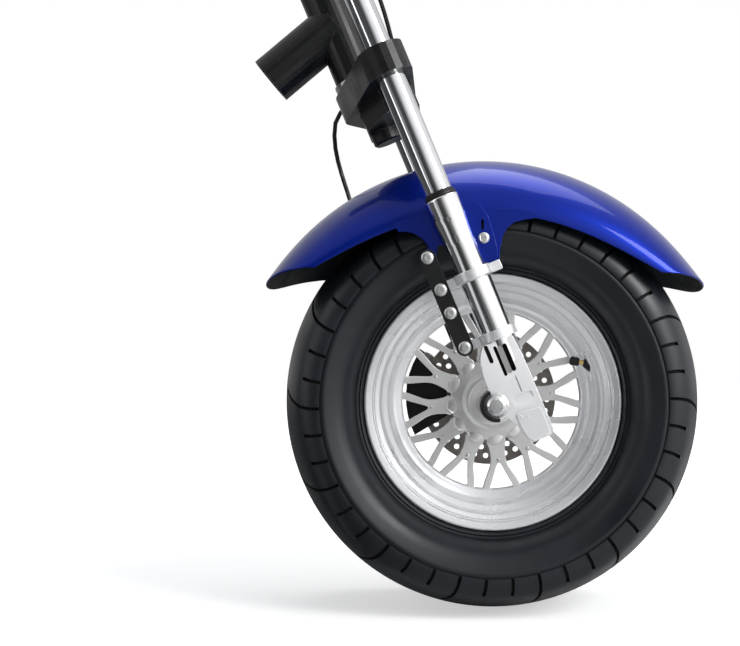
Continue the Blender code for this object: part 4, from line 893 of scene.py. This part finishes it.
def buildEars(side, way):
    # the flap beside the leg, the stiffened patch on it, and the slot above its bolt
    (rearX, rearY), (frontX, frontY), size = earSizes["rear"], earSizes["front"], earSizes["round"]
    face = way * guardSizes["halfWidth"]
    inner = way * (guardSizes["halfWidth"] - guardSizes["wall"])
    # the flap's top runs along the guard's lower edge, a little above it
    outline = [polar(edgeRadius(d) + earSizes["overlap"], d) for d in range(55, 99, 2)]
    outline += fromMm(earSizes["back"], rearX, rearY)
    outline += arc(earSizes["rear"], size, 90.0, 340.0, 14)
    outline += [(rearX + size * 1.8, rearY + size), (frontX - size * 2.2, frontY + size)]
    outline += [(frontX - size * 1.2, frontY)] + arc(earSizes["tip"], earSizes["tipRound"], 180.0, 380.0, 12)
    outline += fromMm(earSizes["ahead"], frontX, frontY)
    flap = cutPlate("guard_ears_" + side, outline, face, inner, 0.7 * mm)
    slotX, slotY, reach, slotRound = earSizes["slot"]
    slot = arc((0.0, reach), slotRound, 0.0, 180.0, 7) + arc((0.0, -reach), slotRound, 180.0, 360.0, 7)
    cutter = cutPlate("earSlot", slot, -9.0 * mm, 9.0 * mm)
    middle = Matrix.Translation((frontX + slotX, frontY + slotY, face))
    settle(cutter, middle @ Matrix.Rotation(-rake, 4, "Z"))
    stiff = rounded(fromMm(earSizes["stiff"], frontX, frontY), 5.0 * mm, 4)
    out = way * (guardSizes["halfWidth"] + earSizes["patch"])
    patch = cutPlate("guard_patch_" + side, stiff, out, way * (guardSizes["halfWidth"] - 1.0 * mm), 0.8 * mm)
    twin = copyAt(cutter, "earSlotTwin", Matrix.Identity(4))
    cutAway(flap, cutter)
    cutAway(patch, twin)
    dress(flap, forkPlace, bluePaint, "fork")
    dress(patch, forkPlace, bluePaint, "fork")


# bolts: one head that is modelled and copied
def socketHead(radius, height):
    dome = [(0.0, height), (radius * 0.62, height), (radius * 0.95, height * 0.62)]
    dome += [(radius, 0.0), (0.0, 0.0)]
    head = turn("socketHead", soften(dome, radius * 0.25), 32)
    cutAway(head, addCylinder(6, radius * 0.36, height, (0, 0, height)))
    return head


def placeBolts(name, head, places):
    copies = [copyAt(head, name + "Copy", place) for place in places]
    bpy.data.objects.remove(head, do_unlink=True)
    dress(joinAll(name, copies), Matrix.Identity(4), zincSteel, "fork")


def sideways(x, y, z, way):
    # stands a head on a face of the fork's side view, pointing to the bike's right or left
    flip = Matrix.Identity(4) if way > 0 else Matrix.Rotation(math.pi, 4, "X")
    return forkPlace @ Matrix.Translation((x, y, z)) @ flip


# fork legs
legSizes = {
    "tube": 14.0 * mm, "foot": 150.0 * mm, "sliderTop": 216.0 * mm, "collar": 17.4 * mm,
    "neck": 15.5 * mm, "barrel": 16.1 * mm, "barrelTop": 126.2 * mm, "barrelFoot": 30.0 * mm,
    "sliderFoot": -48.0 * mm,
}


def buildLeg(side):
    place = legPlace[side]
    solid = frame["nodes"]["stanchion_" + side]
    tubeTop = max((place.inverted() @ vertex.co).z for vertex in solid.data.vertices)
    width, foot = legSizes["tube"], legSizes["foot"]
    ends = [(0.0, tubeTop), (width, tubeTop), (width, foot), (0.0, foot)]
    tube = turn("fork_tube_" + side, soften(ends, 1.0 * mm), 96)
    dress(tube, place, chrome, "fork", ["stanchion_" + side])

    bore = width + 0.3 * mm
    sealFoot = legSizes["sliderTop"] + 0.3 * mm
    lips = fromMm([(0, 6.0), (0.6, 6.0)], bore, sealFoot)
    lips += fromMm([(15.6, 4.0), (15.2, 3.2), (16.6, 2.6), (16.6, 0)], 0.0, sealFoot) + [(bore, sealFoot)]
    seal = turnRing("leg_seal_" + side, lips, 0.3 * mm, 2, 64)
    dress(seal, place, softRubber, "fork", ["dust_seal_" + side])

    top, collar, neck, barrel = (legSizes[key] for key in ("sliderTop", "collar", "neck", "barrel"))
    barrelFoot = legSizes["barrelFoot"]
    profile = [(0.0, foot), (bore, foot), (bore, top)]
    profile += fromMm([(-1.2, 0), (0, -1.5), (0, -22.0), (-0.5, -27.0)], collar, top)
    profile += fromMm([(0.5, -43.0), (0, -50.0)], neck, top) + [(neck, legSizes["barrelTop"])]
    profile.append((barrel, legSizes["barrelTop"] - 0.8 * mm))
    profile += fromMm([(0, 4.0), (-4.0, 0)], barrel, barrelFoot) + [(0.0, barrelFoot)]
    slider = turn("fork_slider_" + side, soften(profile, 1.2 * mm), 96)
    settle(slider, place)
    weld(slider, footCasting(side))
    for cutter in footCutters(side):
        cutAway(slider, cutter)
    markSlots(slider, side)
    dress(slider, Matrix.Identity(4), castAlloy, "fork", ["slider_" + side], 32.0)


footSizes = {
    "lug": 30.0 * mm,  # across the bike
    "eye": 14.5 * mm,
    "front": 14.5 * mm,  # from the leg's axis
    "rear": 11.5 * mm, "top": 60.5 * mm, "pad": 1.5 * mm,
    "dots": ((19.0, -19.5), (25.5, -22.5)),  # middles in mm
    "dot": ((-1.1, -1.1), (1.1, -1.1), (1.1, 1.1), (-1.1, 1.1)),
    # middle from the leg's axis, top, foot, width and depth of each slot
    "slots": (
        (-17.2, 60.0, 41.0, 4.2, 4.0),
        (-8.9, 56.0, 24.0, 3.4, 4.0),
        (-4.1, 55.0, 25.0, 6.0, 1.6),
        (0.8, 55.0, 25.5, 4.6, 4.0),
        (-0.8, 20.5, 3.5, 1.5, 0.9),
    ),
    "ramp": (-15.0 * mm, 1.5 * mm, 13.0),  # foot, top and slope of the face above the pad
}


def footCasting(side):
    way = sides[side]
    foot, eye = legSizes["sliderFoot"], footSizes["eye"]
    front, rear = legLead + footSizes["front"], legLead - footSizes["rear"]
    lower = [(rear * 0.61, foot * 0.52), (rear - mm, foot + 2 * mm), (rear + 2 * mm, foot)]
    lower.append((front - 4 * mm, foot))
    top, beside = footSizes["top"], legLead - legSizes["barrel"] - 4 * mm
    upper = [(front, foot + 4 * mm), (front, 30 * mm), (front - 2 * mm, top)]
    upper += [(beside, top), (eye * 0.2, top * 0.83), (-mm, top * 0.53), (-mm, top * 0.35)]
    outline = arc((0.0, 0.0), eye, 100.0, 290.0, 26) + soften(lower + upper, 3.0 * mm)
    middle, half = way * legSpread / 2, footSizes["lug"] / 2
    lug = cutPlate("foot_" + side, outline, middle - half, middle + half, 1.2 * mm)
    face = middle + way * half

    # raised face at the lower end, with two small cast dots on it
    padFront, padFoot, pad = front - 4 * mm, foot + 2 * mm, footSizes["pad"]
    padOutline = [(rear - 3 * mm, foot * 0.31), (rear - 3.5 * mm, foot * 0.62), (rear, foot + 4 * mm)]
    padOutline += [(rear + 3 * mm, padFoot), (padFront - 3 * mm, padFoot)]
    padOutline += [(padFront, foot + 5 * mm), (padFront, foot * 0.36)]
    raised = rounded(padOutline, 2.0 * mm)
    weld(lug, cutPlate("footPad", raised, face - way * 1.0 * mm, face + way * pad, 0.9 * mm))
    for x, y in footSizes["dots"]:
        dot = rounded(fromMm(footSizes["dot"], x * mm, y * mm), 0.4 * mm, 2)
        weld(lug, cutPlate("footDot", dot, face, face + way * (pad + 0.6 * mm), 0.2 * mm))
    settle(lug, forkPlace)
    return lug


def footCutters(side):
    way = sides[side]
    face = way * (legSpread / 2 + footSizes["lug"] / 2)
    cutters = []
    for x, high, low, width, depth in footSizes["slots"]:
        x, low, high, r = legLead + x * mm, low * mm, high * mm, width * mm / 2
        slot = arc((x, high - r), r, 0.0, 180.0, 8) + arc((x, low + r), r, 180.0, 360.0, 8)
        cutters.append(cutPlate("slot", slot, face - way * depth * mm, face + way * 6.0 * mm))
    low, high, slope = footSizes["ramp"]
    front, rear = legLead + footSizes["front"] - 5.5 * mm, legLead - footSizes["rear"]
    corners = [(rear - 2 * mm, low), (front, low), (front, high), (rear + 1 * mm, high)]
    outline = rounded(corners, 1.0 * mm, 2)
    ramp = cutPlate("ramp", [(x, y - low) for x, y in outline], 0.0, way * 12.0 * mm)
    stand = Matrix.Translation((0.0, low, face + way * footSizes["pad"]))
    settle(ramp, stand @ Matrix.Rotation(-way * math.radians(slope), 4, "X"))
    cutters.append(ramp)
    for cutter in cutters:
        settle(cutter, forkPlace)
    return cutters


def markSlots(piece, side):
    # the slots keep the rough skin of the casting and are painted near-black as shade, the shallow bar
    # between two of them half of it
    way = sides[side]
    face = legSpread / 2 + footSizes["lug"] / 2
    shadeMarks = piece.data.attributes.new("inside", "FLOAT", "FACE")
    cast = piece.data.attributes.new("asCast", "FLOAT", "FACE")
    toFork = forkPlace.inverted()
    for polygon in piece.data.polygons:
        at = toFork @ polygon.center
        fromAxis = math.hypot(at.x - legLead, at.z - way * legSpread / 2)
        onFoot = at.y < 28.0 * mm or (at.y < footSizes["top"] and fromAxis > legSizes["barrel"] + 0.05 * mm)
        cast.data[polygon.index].value = 1.0 if onFoot else 0.0
        for x, high, low, width, depth in footSizes["slots"]:
            beside = abs(at.x - legLead - x * mm) < width * mm / 2 + 0.02 * mm
            under = face - depth * mm - 0.1 * mm < at.z * way < face + 2.0 * mm
            if beside and under and low * mm - 0.02 * mm < at.y < high * mm + 0.02 * mm:
                shadeMark = shadeMarks.data[polygon.index]
                shadeMark.value = max(shadeMark.value, 1.0 if depth > 2 else 0.45)


# clamps round the sliders
clampSizes = {
    "radius": 19.6 * mm, "height": 10.0 * mm, "upper": 131.5 * mm, "lower": 66.0 * mm, "lug": 10.0 * mm,
    "arm": (6.3 * mm, 16.3 * mm, -43.3 * mm),  # near and far side of the arm to the link plate, and its end
    "lugEnd": 31.4 * mm,
}


def buildClamp(side, name):
    front = name == "upper"
    radius, height, level = clampSizes["radius"], clampSizes["height"], clampSizes[name]
    hole = (legSizes["neck"] if front else legSizes["barrel"]) + 0.2 * mm
    near, far, back = clampSizes["arm"]
    start = math.degrees(math.asin(near / radius))
    end = math.degrees(math.asin(far / radius))
    outline = [(back, far), (back, near)]
    if front:
        earFace = legSpread / 2 - guardSizes["halfWidth"] - 0.3 * mm
        lugFace = earFace - clampSizes["lug"]
        low = math.degrees(math.asin(lugFace / radius))
        outline += arc((0.0, 0.0), radius, 180.0 - start, 360.0 + low, 48)
        outline += [(clampSizes["lugEnd"], lugFace), (clampSizes["lugEnd"], earFace)]
        outline += arc((0.0, 0.0), radius, 90.0, 180.0 - end, 12)
    else:
        outline += arc((0.0, 0.0), radius, 180.0 - start, 540.0 - end, 64)
    # local Y of a leg points to the bike's left, and the arm to its middle
    outline = [(x, sides[side] * y) for x, y in outline]
    clamp = cutPlate("leg_clamp_" + name + "_" + side, outline, level - height / 2, level + height / 2)
    cutAway(clamp, addCylinder(96, hole, height * 3, (0, 0, level)))
    roundEdges(clamp, 0.7 * mm, 2, 40.0)
    dress(clamp, legPlace[side], brightAlloy, "fork", ["clamp_" + name + "_" + side])


# link plates behind the legs
linkSizes = {"width": 17.5 * mm, "thickness": 4.0 * mm, "inset": 2.0 * mm, "boss": 6.5 * mm}


def buildLink(side):
    way = sides[side]
    x, high = earSizes["rear"]
    low, upper = clampSizes["lower"], clampSizes["upper"]
    outline = arc((x, high), linkSizes["width"] / 2, 0.0, 180.0, 20)
    outline += arc((x, low), linkSizes["width"] / 2, 180.0, 360.0, 20)
    outer = way * (legSpread / 2 - linkSizes["inset"])
    link = cutPlate("link_" + side, outline, outer, outer - way * linkSizes["thickness"], 0.8 * mm)
    near, far = sorted((outer - way * 2.0 * mm, way * (guardSizes["halfWidth"] + 0.3 * mm)))
    boss = turn("boss", [(0.0, far), (linkSizes["boss"], far), (linkSizes["boss"], near), (0.0, near)], 40)
    settle(boss, Matrix.Translation((x, high, 0.0)))
    weld(link, boss)
    dress(link, forkPlace, blackPaint, "fork", ["link_plate_" + side])
    levels = [high, upper - 1.9 * mm, (upper + low) / 2 + 5.3 * mm, low]
    bolts = [sideways(x, level, outer, way) for level in levels]
    placeBolts("link_bolts_" + side, socketHead(6.9 * mm, 3.2 * mm), bolts)
    earOut = way * (guardSizes["halfWidth"] + 0.9 * mm)
    front = sideways(*earSizes["front"], earOut, way)
    placeBolts("ear_bolt_" + side, socketHead(6.2 * mm, 3.4 * mm), [front])


# axle, its nuts and spacers
def buildAxle():
    axle = {"radius": 7.5 * mm, "reach": 156.0 * mm, "nut": 11.6 * mm, "nutHeight": 8.4 * mm}
    bore, outside = 7.9 * mm, 12.5 * mm  # of the spacers
    seal = {"inner": 12.9 * mm, "outer": 16.6 * mm, "thick": 2.2 * mm}
    radius, reach, nut, nutHeight = axle.values()
    ends = [(0.0, reach), (radius, reach), (radius, -reach), (0.0, -reach)]
    rod = turn("axle_rod", soften(ends, 1.2 * mm), 48)
    dress(rod, forkPlace, zincSteel, "fork", ["axle"])
    face = legSpread / 2 + footSizes["lug"] / 2 + 0.2 * mm
    for side, way in sides.items():
        dome = [(0.0, nutHeight + 2.4 * mm), (nut * 0.55, nutHeight + 1.7 * mm)]
        dome += [(nut * 0.88, nutHeight - 1.2 * mm), (nut, nutHeight - 5.0 * mm)]
        dome += fromMm([(0, 1.6), (1.2, 1.2), (1.2, 0)], nut) + [(0.0, 0.0)]
        cap = turn("axle_cap_" + side, soften(dome, 1.6 * mm), 64)
        stand = sideways(0.0, 0.0, way * face, way)
        dress(cap, stand, zincSteel, "fork", ["axle_nut_" + side])
        # a dark half ring round the rear half of the nut stands for a black seal and the shade in the gap
        # there
        outline = arc((0.0, 0.0), seal["outer"], 92.0, 262.0, 40)
        outline += arc((0.0, 0.0), seal["inner"], 262.0, 92.0, 40)
        out = way * (face + seal["thick"])
        ring = cutPlate("axle_seal_and_shade_" + side, outline, way * face, out, 0.5 * mm)
        dress(ring, forkPlace, softRubber, "fork")
    inner = legSpread / 2 - footSizes["lug"] / 2 - 0.3 * mm
    stepped = [(bore, inner)] + fromMm([(16.8, 0), (16.8, -8.0), (12.5, -10.0)], 0.0, inner)
    stepped += [(outside, 50.8 * mm), (bore, 50.8 * mm)]
    right = turnRing("wheel_spacer_right", stepped, 0.6 * mm, 2, 64)
    dress(right, forkPlace, zincSteel, "fork", ["axle_spacer_right"])
    low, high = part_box("axle_spacer_left")
    plain = [(bore, -low.y), (outside, -low.y), (outside, -high.y), (bore, -high.y)]
    left = turnRing("wheel_spacer_left", plain, 0.6 * mm, 2, 64)
    dress(left, forkPlace, zincSteel, "fork", ["axle_spacer_left"])


# solids that keep their own form take only the new finish
def dressSolid(node, material):
    solid = frame["nodes"][node]
    pick(solid)
    bpy.ops.object.shade_smooth_by_angle(angle=math.radians(40.0))
    edge = solid.modifiers.new("edge", "BEVEL")
    edge.width, edge.segments = 0.5 * mm, 2
    edge.limit_method, edge.angle_limit = "ANGLE", math.radians(40.0)
    edge.harden_normals = True
    solid.data.materials.clear()
    solid.data.materials.append(material)


keptSolids = (
    (blackPaint, ("head_tube", "upper_yoke", "lower_yoke", "caliper", "hose_clip")),
    (softRubber, ("brake_hose",)),
    (zincSteel, (
        "bearing_cup_upper", "bearing_cup_lower", "steering_stem", "stem_nut", "fork_cap_right",
        "fork_cap_left", "caliper_bracket", "hose_banjo", "hose_union",
    )),
)


buildTyre()
print("tyre done")
buildBarrel()
buildArms()
buildHub()
print("cast wheel done")
buildDisc()
buildValve()
print("disc and valve done")
buildMudguard()
print("mudguard done")
for side in sides:
    buildLeg(side)
    buildClamp(side, "upper")
    buildClamp(side, "lower")
    buildLink(side)
print("fork legs done")
buildAxle()
for material, nodes in keptSolids:
    for node in nodes:
        dressSolid(node, material)
print("solids dressed")


# floor, light and camera
def bandsRound(tree, vector, stops):
    # grey bands by bearing, in degrees to the right of the camera's side
    split = addNode(tree, "SeparateXYZ")
    back = addMath(tree, "MULTIPLY")
    back.inputs[1].default_value = -1.0
    bearing = addMath(tree, "ARCTAN2")
    share = addRange(tree, -math.pi, math.pi)
    ramp = addNode(tree, "ValToRGB")
    for degrees, grey in stops[1:-1]:
        ramp.color_ramp.elements.new((degrees + 180) / 360)
    for stop, (degrees, grey) in zip(ramp.color_ramp.elements, stops):
        stop.color = (grey, grey, grey, 1.0)
    wire(
        tree,
        (vector, split, "Vector"), (split, "Y", back, 0), (split, "X", bearing, 0),
        (back, "Value", bearing, 1), (bearing, "Value", share, "Value"), (share, "Result", ramp, "Fac"),
    )
    return ramp.outputs["Color"]


def buildStage():
    stage = {"size": 16.0, "grey": (0.80, 0.80, 0.80), "white": (0.84, 0.84, 0.84)}
    bands = (
        (-180, 0.35), (-80, 0.10), (-60, 0.06), (-55, 0.85), (-40, 0.85), (-35, 0.05),
        (-17, 0.05), (-11, 0.34), (20, 0.40), (30, 0.80), (110, 0.80), (180, 0.35),
    )
    deselect()
    bpy.ops.mesh.primitive_plane_add(size=stage["size"], location=(0.0, 0.0, cadLow.z))
    floor = bpy.context.object
    floor.name = "floor"
    material, tree, shader = newMaterial("floorPaper", 0.0, Roughness=0.9, Specular_IOR_Level=0.1)
    grain = addGroup(tree, "fineGrain", Scale=40.0)
    pale = mixColours(tree, grain.outputs["Height"], stage["grey"], stage["white"])
    # the paper glows more and more away from the wheel, so that it meets the white backdrop
    path = addNode(tree, "LightPath")
    coord = addNode(tree, "TexCoord")
    mirrored = bandsRound(tree, coord.outputs["Object"], bands)
    seen = mixColours(tree, path.outputs["Is Glossy Ray"], pale, mirrored)
    tree.links.new(seen, shader.inputs["Base Color"])
    away = addMath(tree, "LENGTH", False, "VectorMath")
    spread = addRange(tree, 0.35, 1.3, 0.52)
    glow = addMath(tree, "MULTIPLY")
    wire(
        tree,
        (coord, "Object", away, 0), (away, "Value", spread, "Value"), (spread, "Result", glow, 0),
        (path, "Is Camera Ray", glow, 1), (glow, "Value", shader, "Emission Strength"),
    )
    shader.inputs["Emission Color"].default_value = (1, 1, 1, 1)
    floor.data.materials.append(material)


def buildWorld():
    # the room that shiny pieces see: bright to the right, dark left of the camera, a bright strip
    # further left, white above; the camera itself sees plain white
    world = bpy.data.worlds.new("studio")
    bpy.context.scene.world = world
    world.use_nodes = True
    tree = world.node_tree
    tree.nodes.clear()
    walls = (
        (-180, 0.60), (-118, 0.25), (-98, 0.30), (-90, 1.0), (-66, 1.0), (-58, 0.08),
        (-14, 0.06), (-2, 0.35), (10, 0.75), (22, 1.0), (112, 1.0), (132, 0.55), (180, 0.60),
    )
    room = {"strength": 1.15, "fill": 0.30, "ceiling": 0.6}
    coord = addNode(tree, "TexCoord")
    split = addNode(tree, "SeparateXYZ")
    wallGrey = bandsRound(tree, coord.outputs["Generated"], walls)
    above = addNode(tree, "MapRange", {"interpolation_type": "SMOOTHSTEP"})
    above.inputs["From Min"].default_value = 0.42
    above.inputs["From Max"].default_value = 0.72
    tint = addNode(tree, "Mix", {"data_type": "RGBA"})
    tint.inputs[7].default_value = (room["ceiling"],) * 3 + (1.0,)
    path = addNode(tree, "LightPath")
    mirrored = addMath(tree, "MAXIMUM")
    shiny = addNode(tree, "Background", values={"Strength": room["strength"]})
    seen = addNode(tree, "Background", values={"Color": (1, 1, 1, 1), "Strength": 1.0})
    fill = addNode(tree, "Background", values={"Color": (0.93, 0.96, 1, 1), "Strength": room["fill"]})
    first = addNode(tree, "MixShader")
    second = addNode(tree, "MixShader")
    out = addNode(tree, "OutputWorld")
    wire(
        tree,
        (coord, "Generated", split, "Vector"), (split, "Z", above, "Value"), (above, "Result", tint, 0),
        (wallGrey, tint, 6), (tint, 2, shiny, "Color"), (path, "Is Glossy Ray", mirrored, 0),
        (path, "Is Transmission Ray", mirrored, 1), (mirrored, "Value", first, "Fac"),
        (fill, "Background", first, 1), (shiny, "Background", first, 2),
        (path, "Is Camera Ray", second, "Fac"), (first, "Shader", second, 1),
        (seen, "Background", second, 2), (second, "Shader", out, "Surface"),
    )


def addLamp(name, location, target, size, power):
    data = bpy.data.lights.new(name, "AREA")
    data.shape = "RECTANGLE"
    data.size, data.size_y = size
    data.energy = power
    lamp = bpy.data.objects.new(name, data)
    bpy.context.scene.collection.objects.link(lamp)
    lamp.location = location
    lamp.rotation_euler = (Vector(target) - Vector(location)).to_track_quat("-Z", "Y").to_euler()


def buildLights():
    middle = (cadLow + cadHigh) / 2
    lamps = {
        "keyLamp": ((1.6, -1.3, 1.0), (0.9, 1.4), 47.0),
        "fillLamp": ((-1.7, -0.9, 0.4), (0.35, 1.6), 3.0), "topLamp": ((0.3, 0.4, 1.9), (1.6, 1.2), 18.0),
    }
    for name, (offset, size, power) in lamps.items():
        addLamp(name, middle + Vector(offset), middle, size, power)


def buildCamera():
    # it looks straight across, and the shift brings the wheel to the right as in the photograph
    shot = {"lens": 57.46, "from": (-52.1 * mm, -1.330, 56.1 * mm), "shift": (-0.1007, 0.0365)}
    data = bpy.data.cameras.new("camera")
    data.lens = shot["lens"]
    data.sensor_width = 36.0
    camera = bpy.data.objects.new("camera", data)
    bpy.context.scene.collection.objects.link(camera)
    camera.location = axlePoint + Vector(shot["from"])
    camera.rotation_euler = (math.pi / 2, 0.0, 0.0)
    data.shift_x, data.shift_y = shot["shift"]
    bpy.context.scene.camera = camera


buildStage()
buildWorld()
buildLights()
buildCamera()
bpy.context.scene.view_settings.view_transform = "Standard"
print("stage ready")
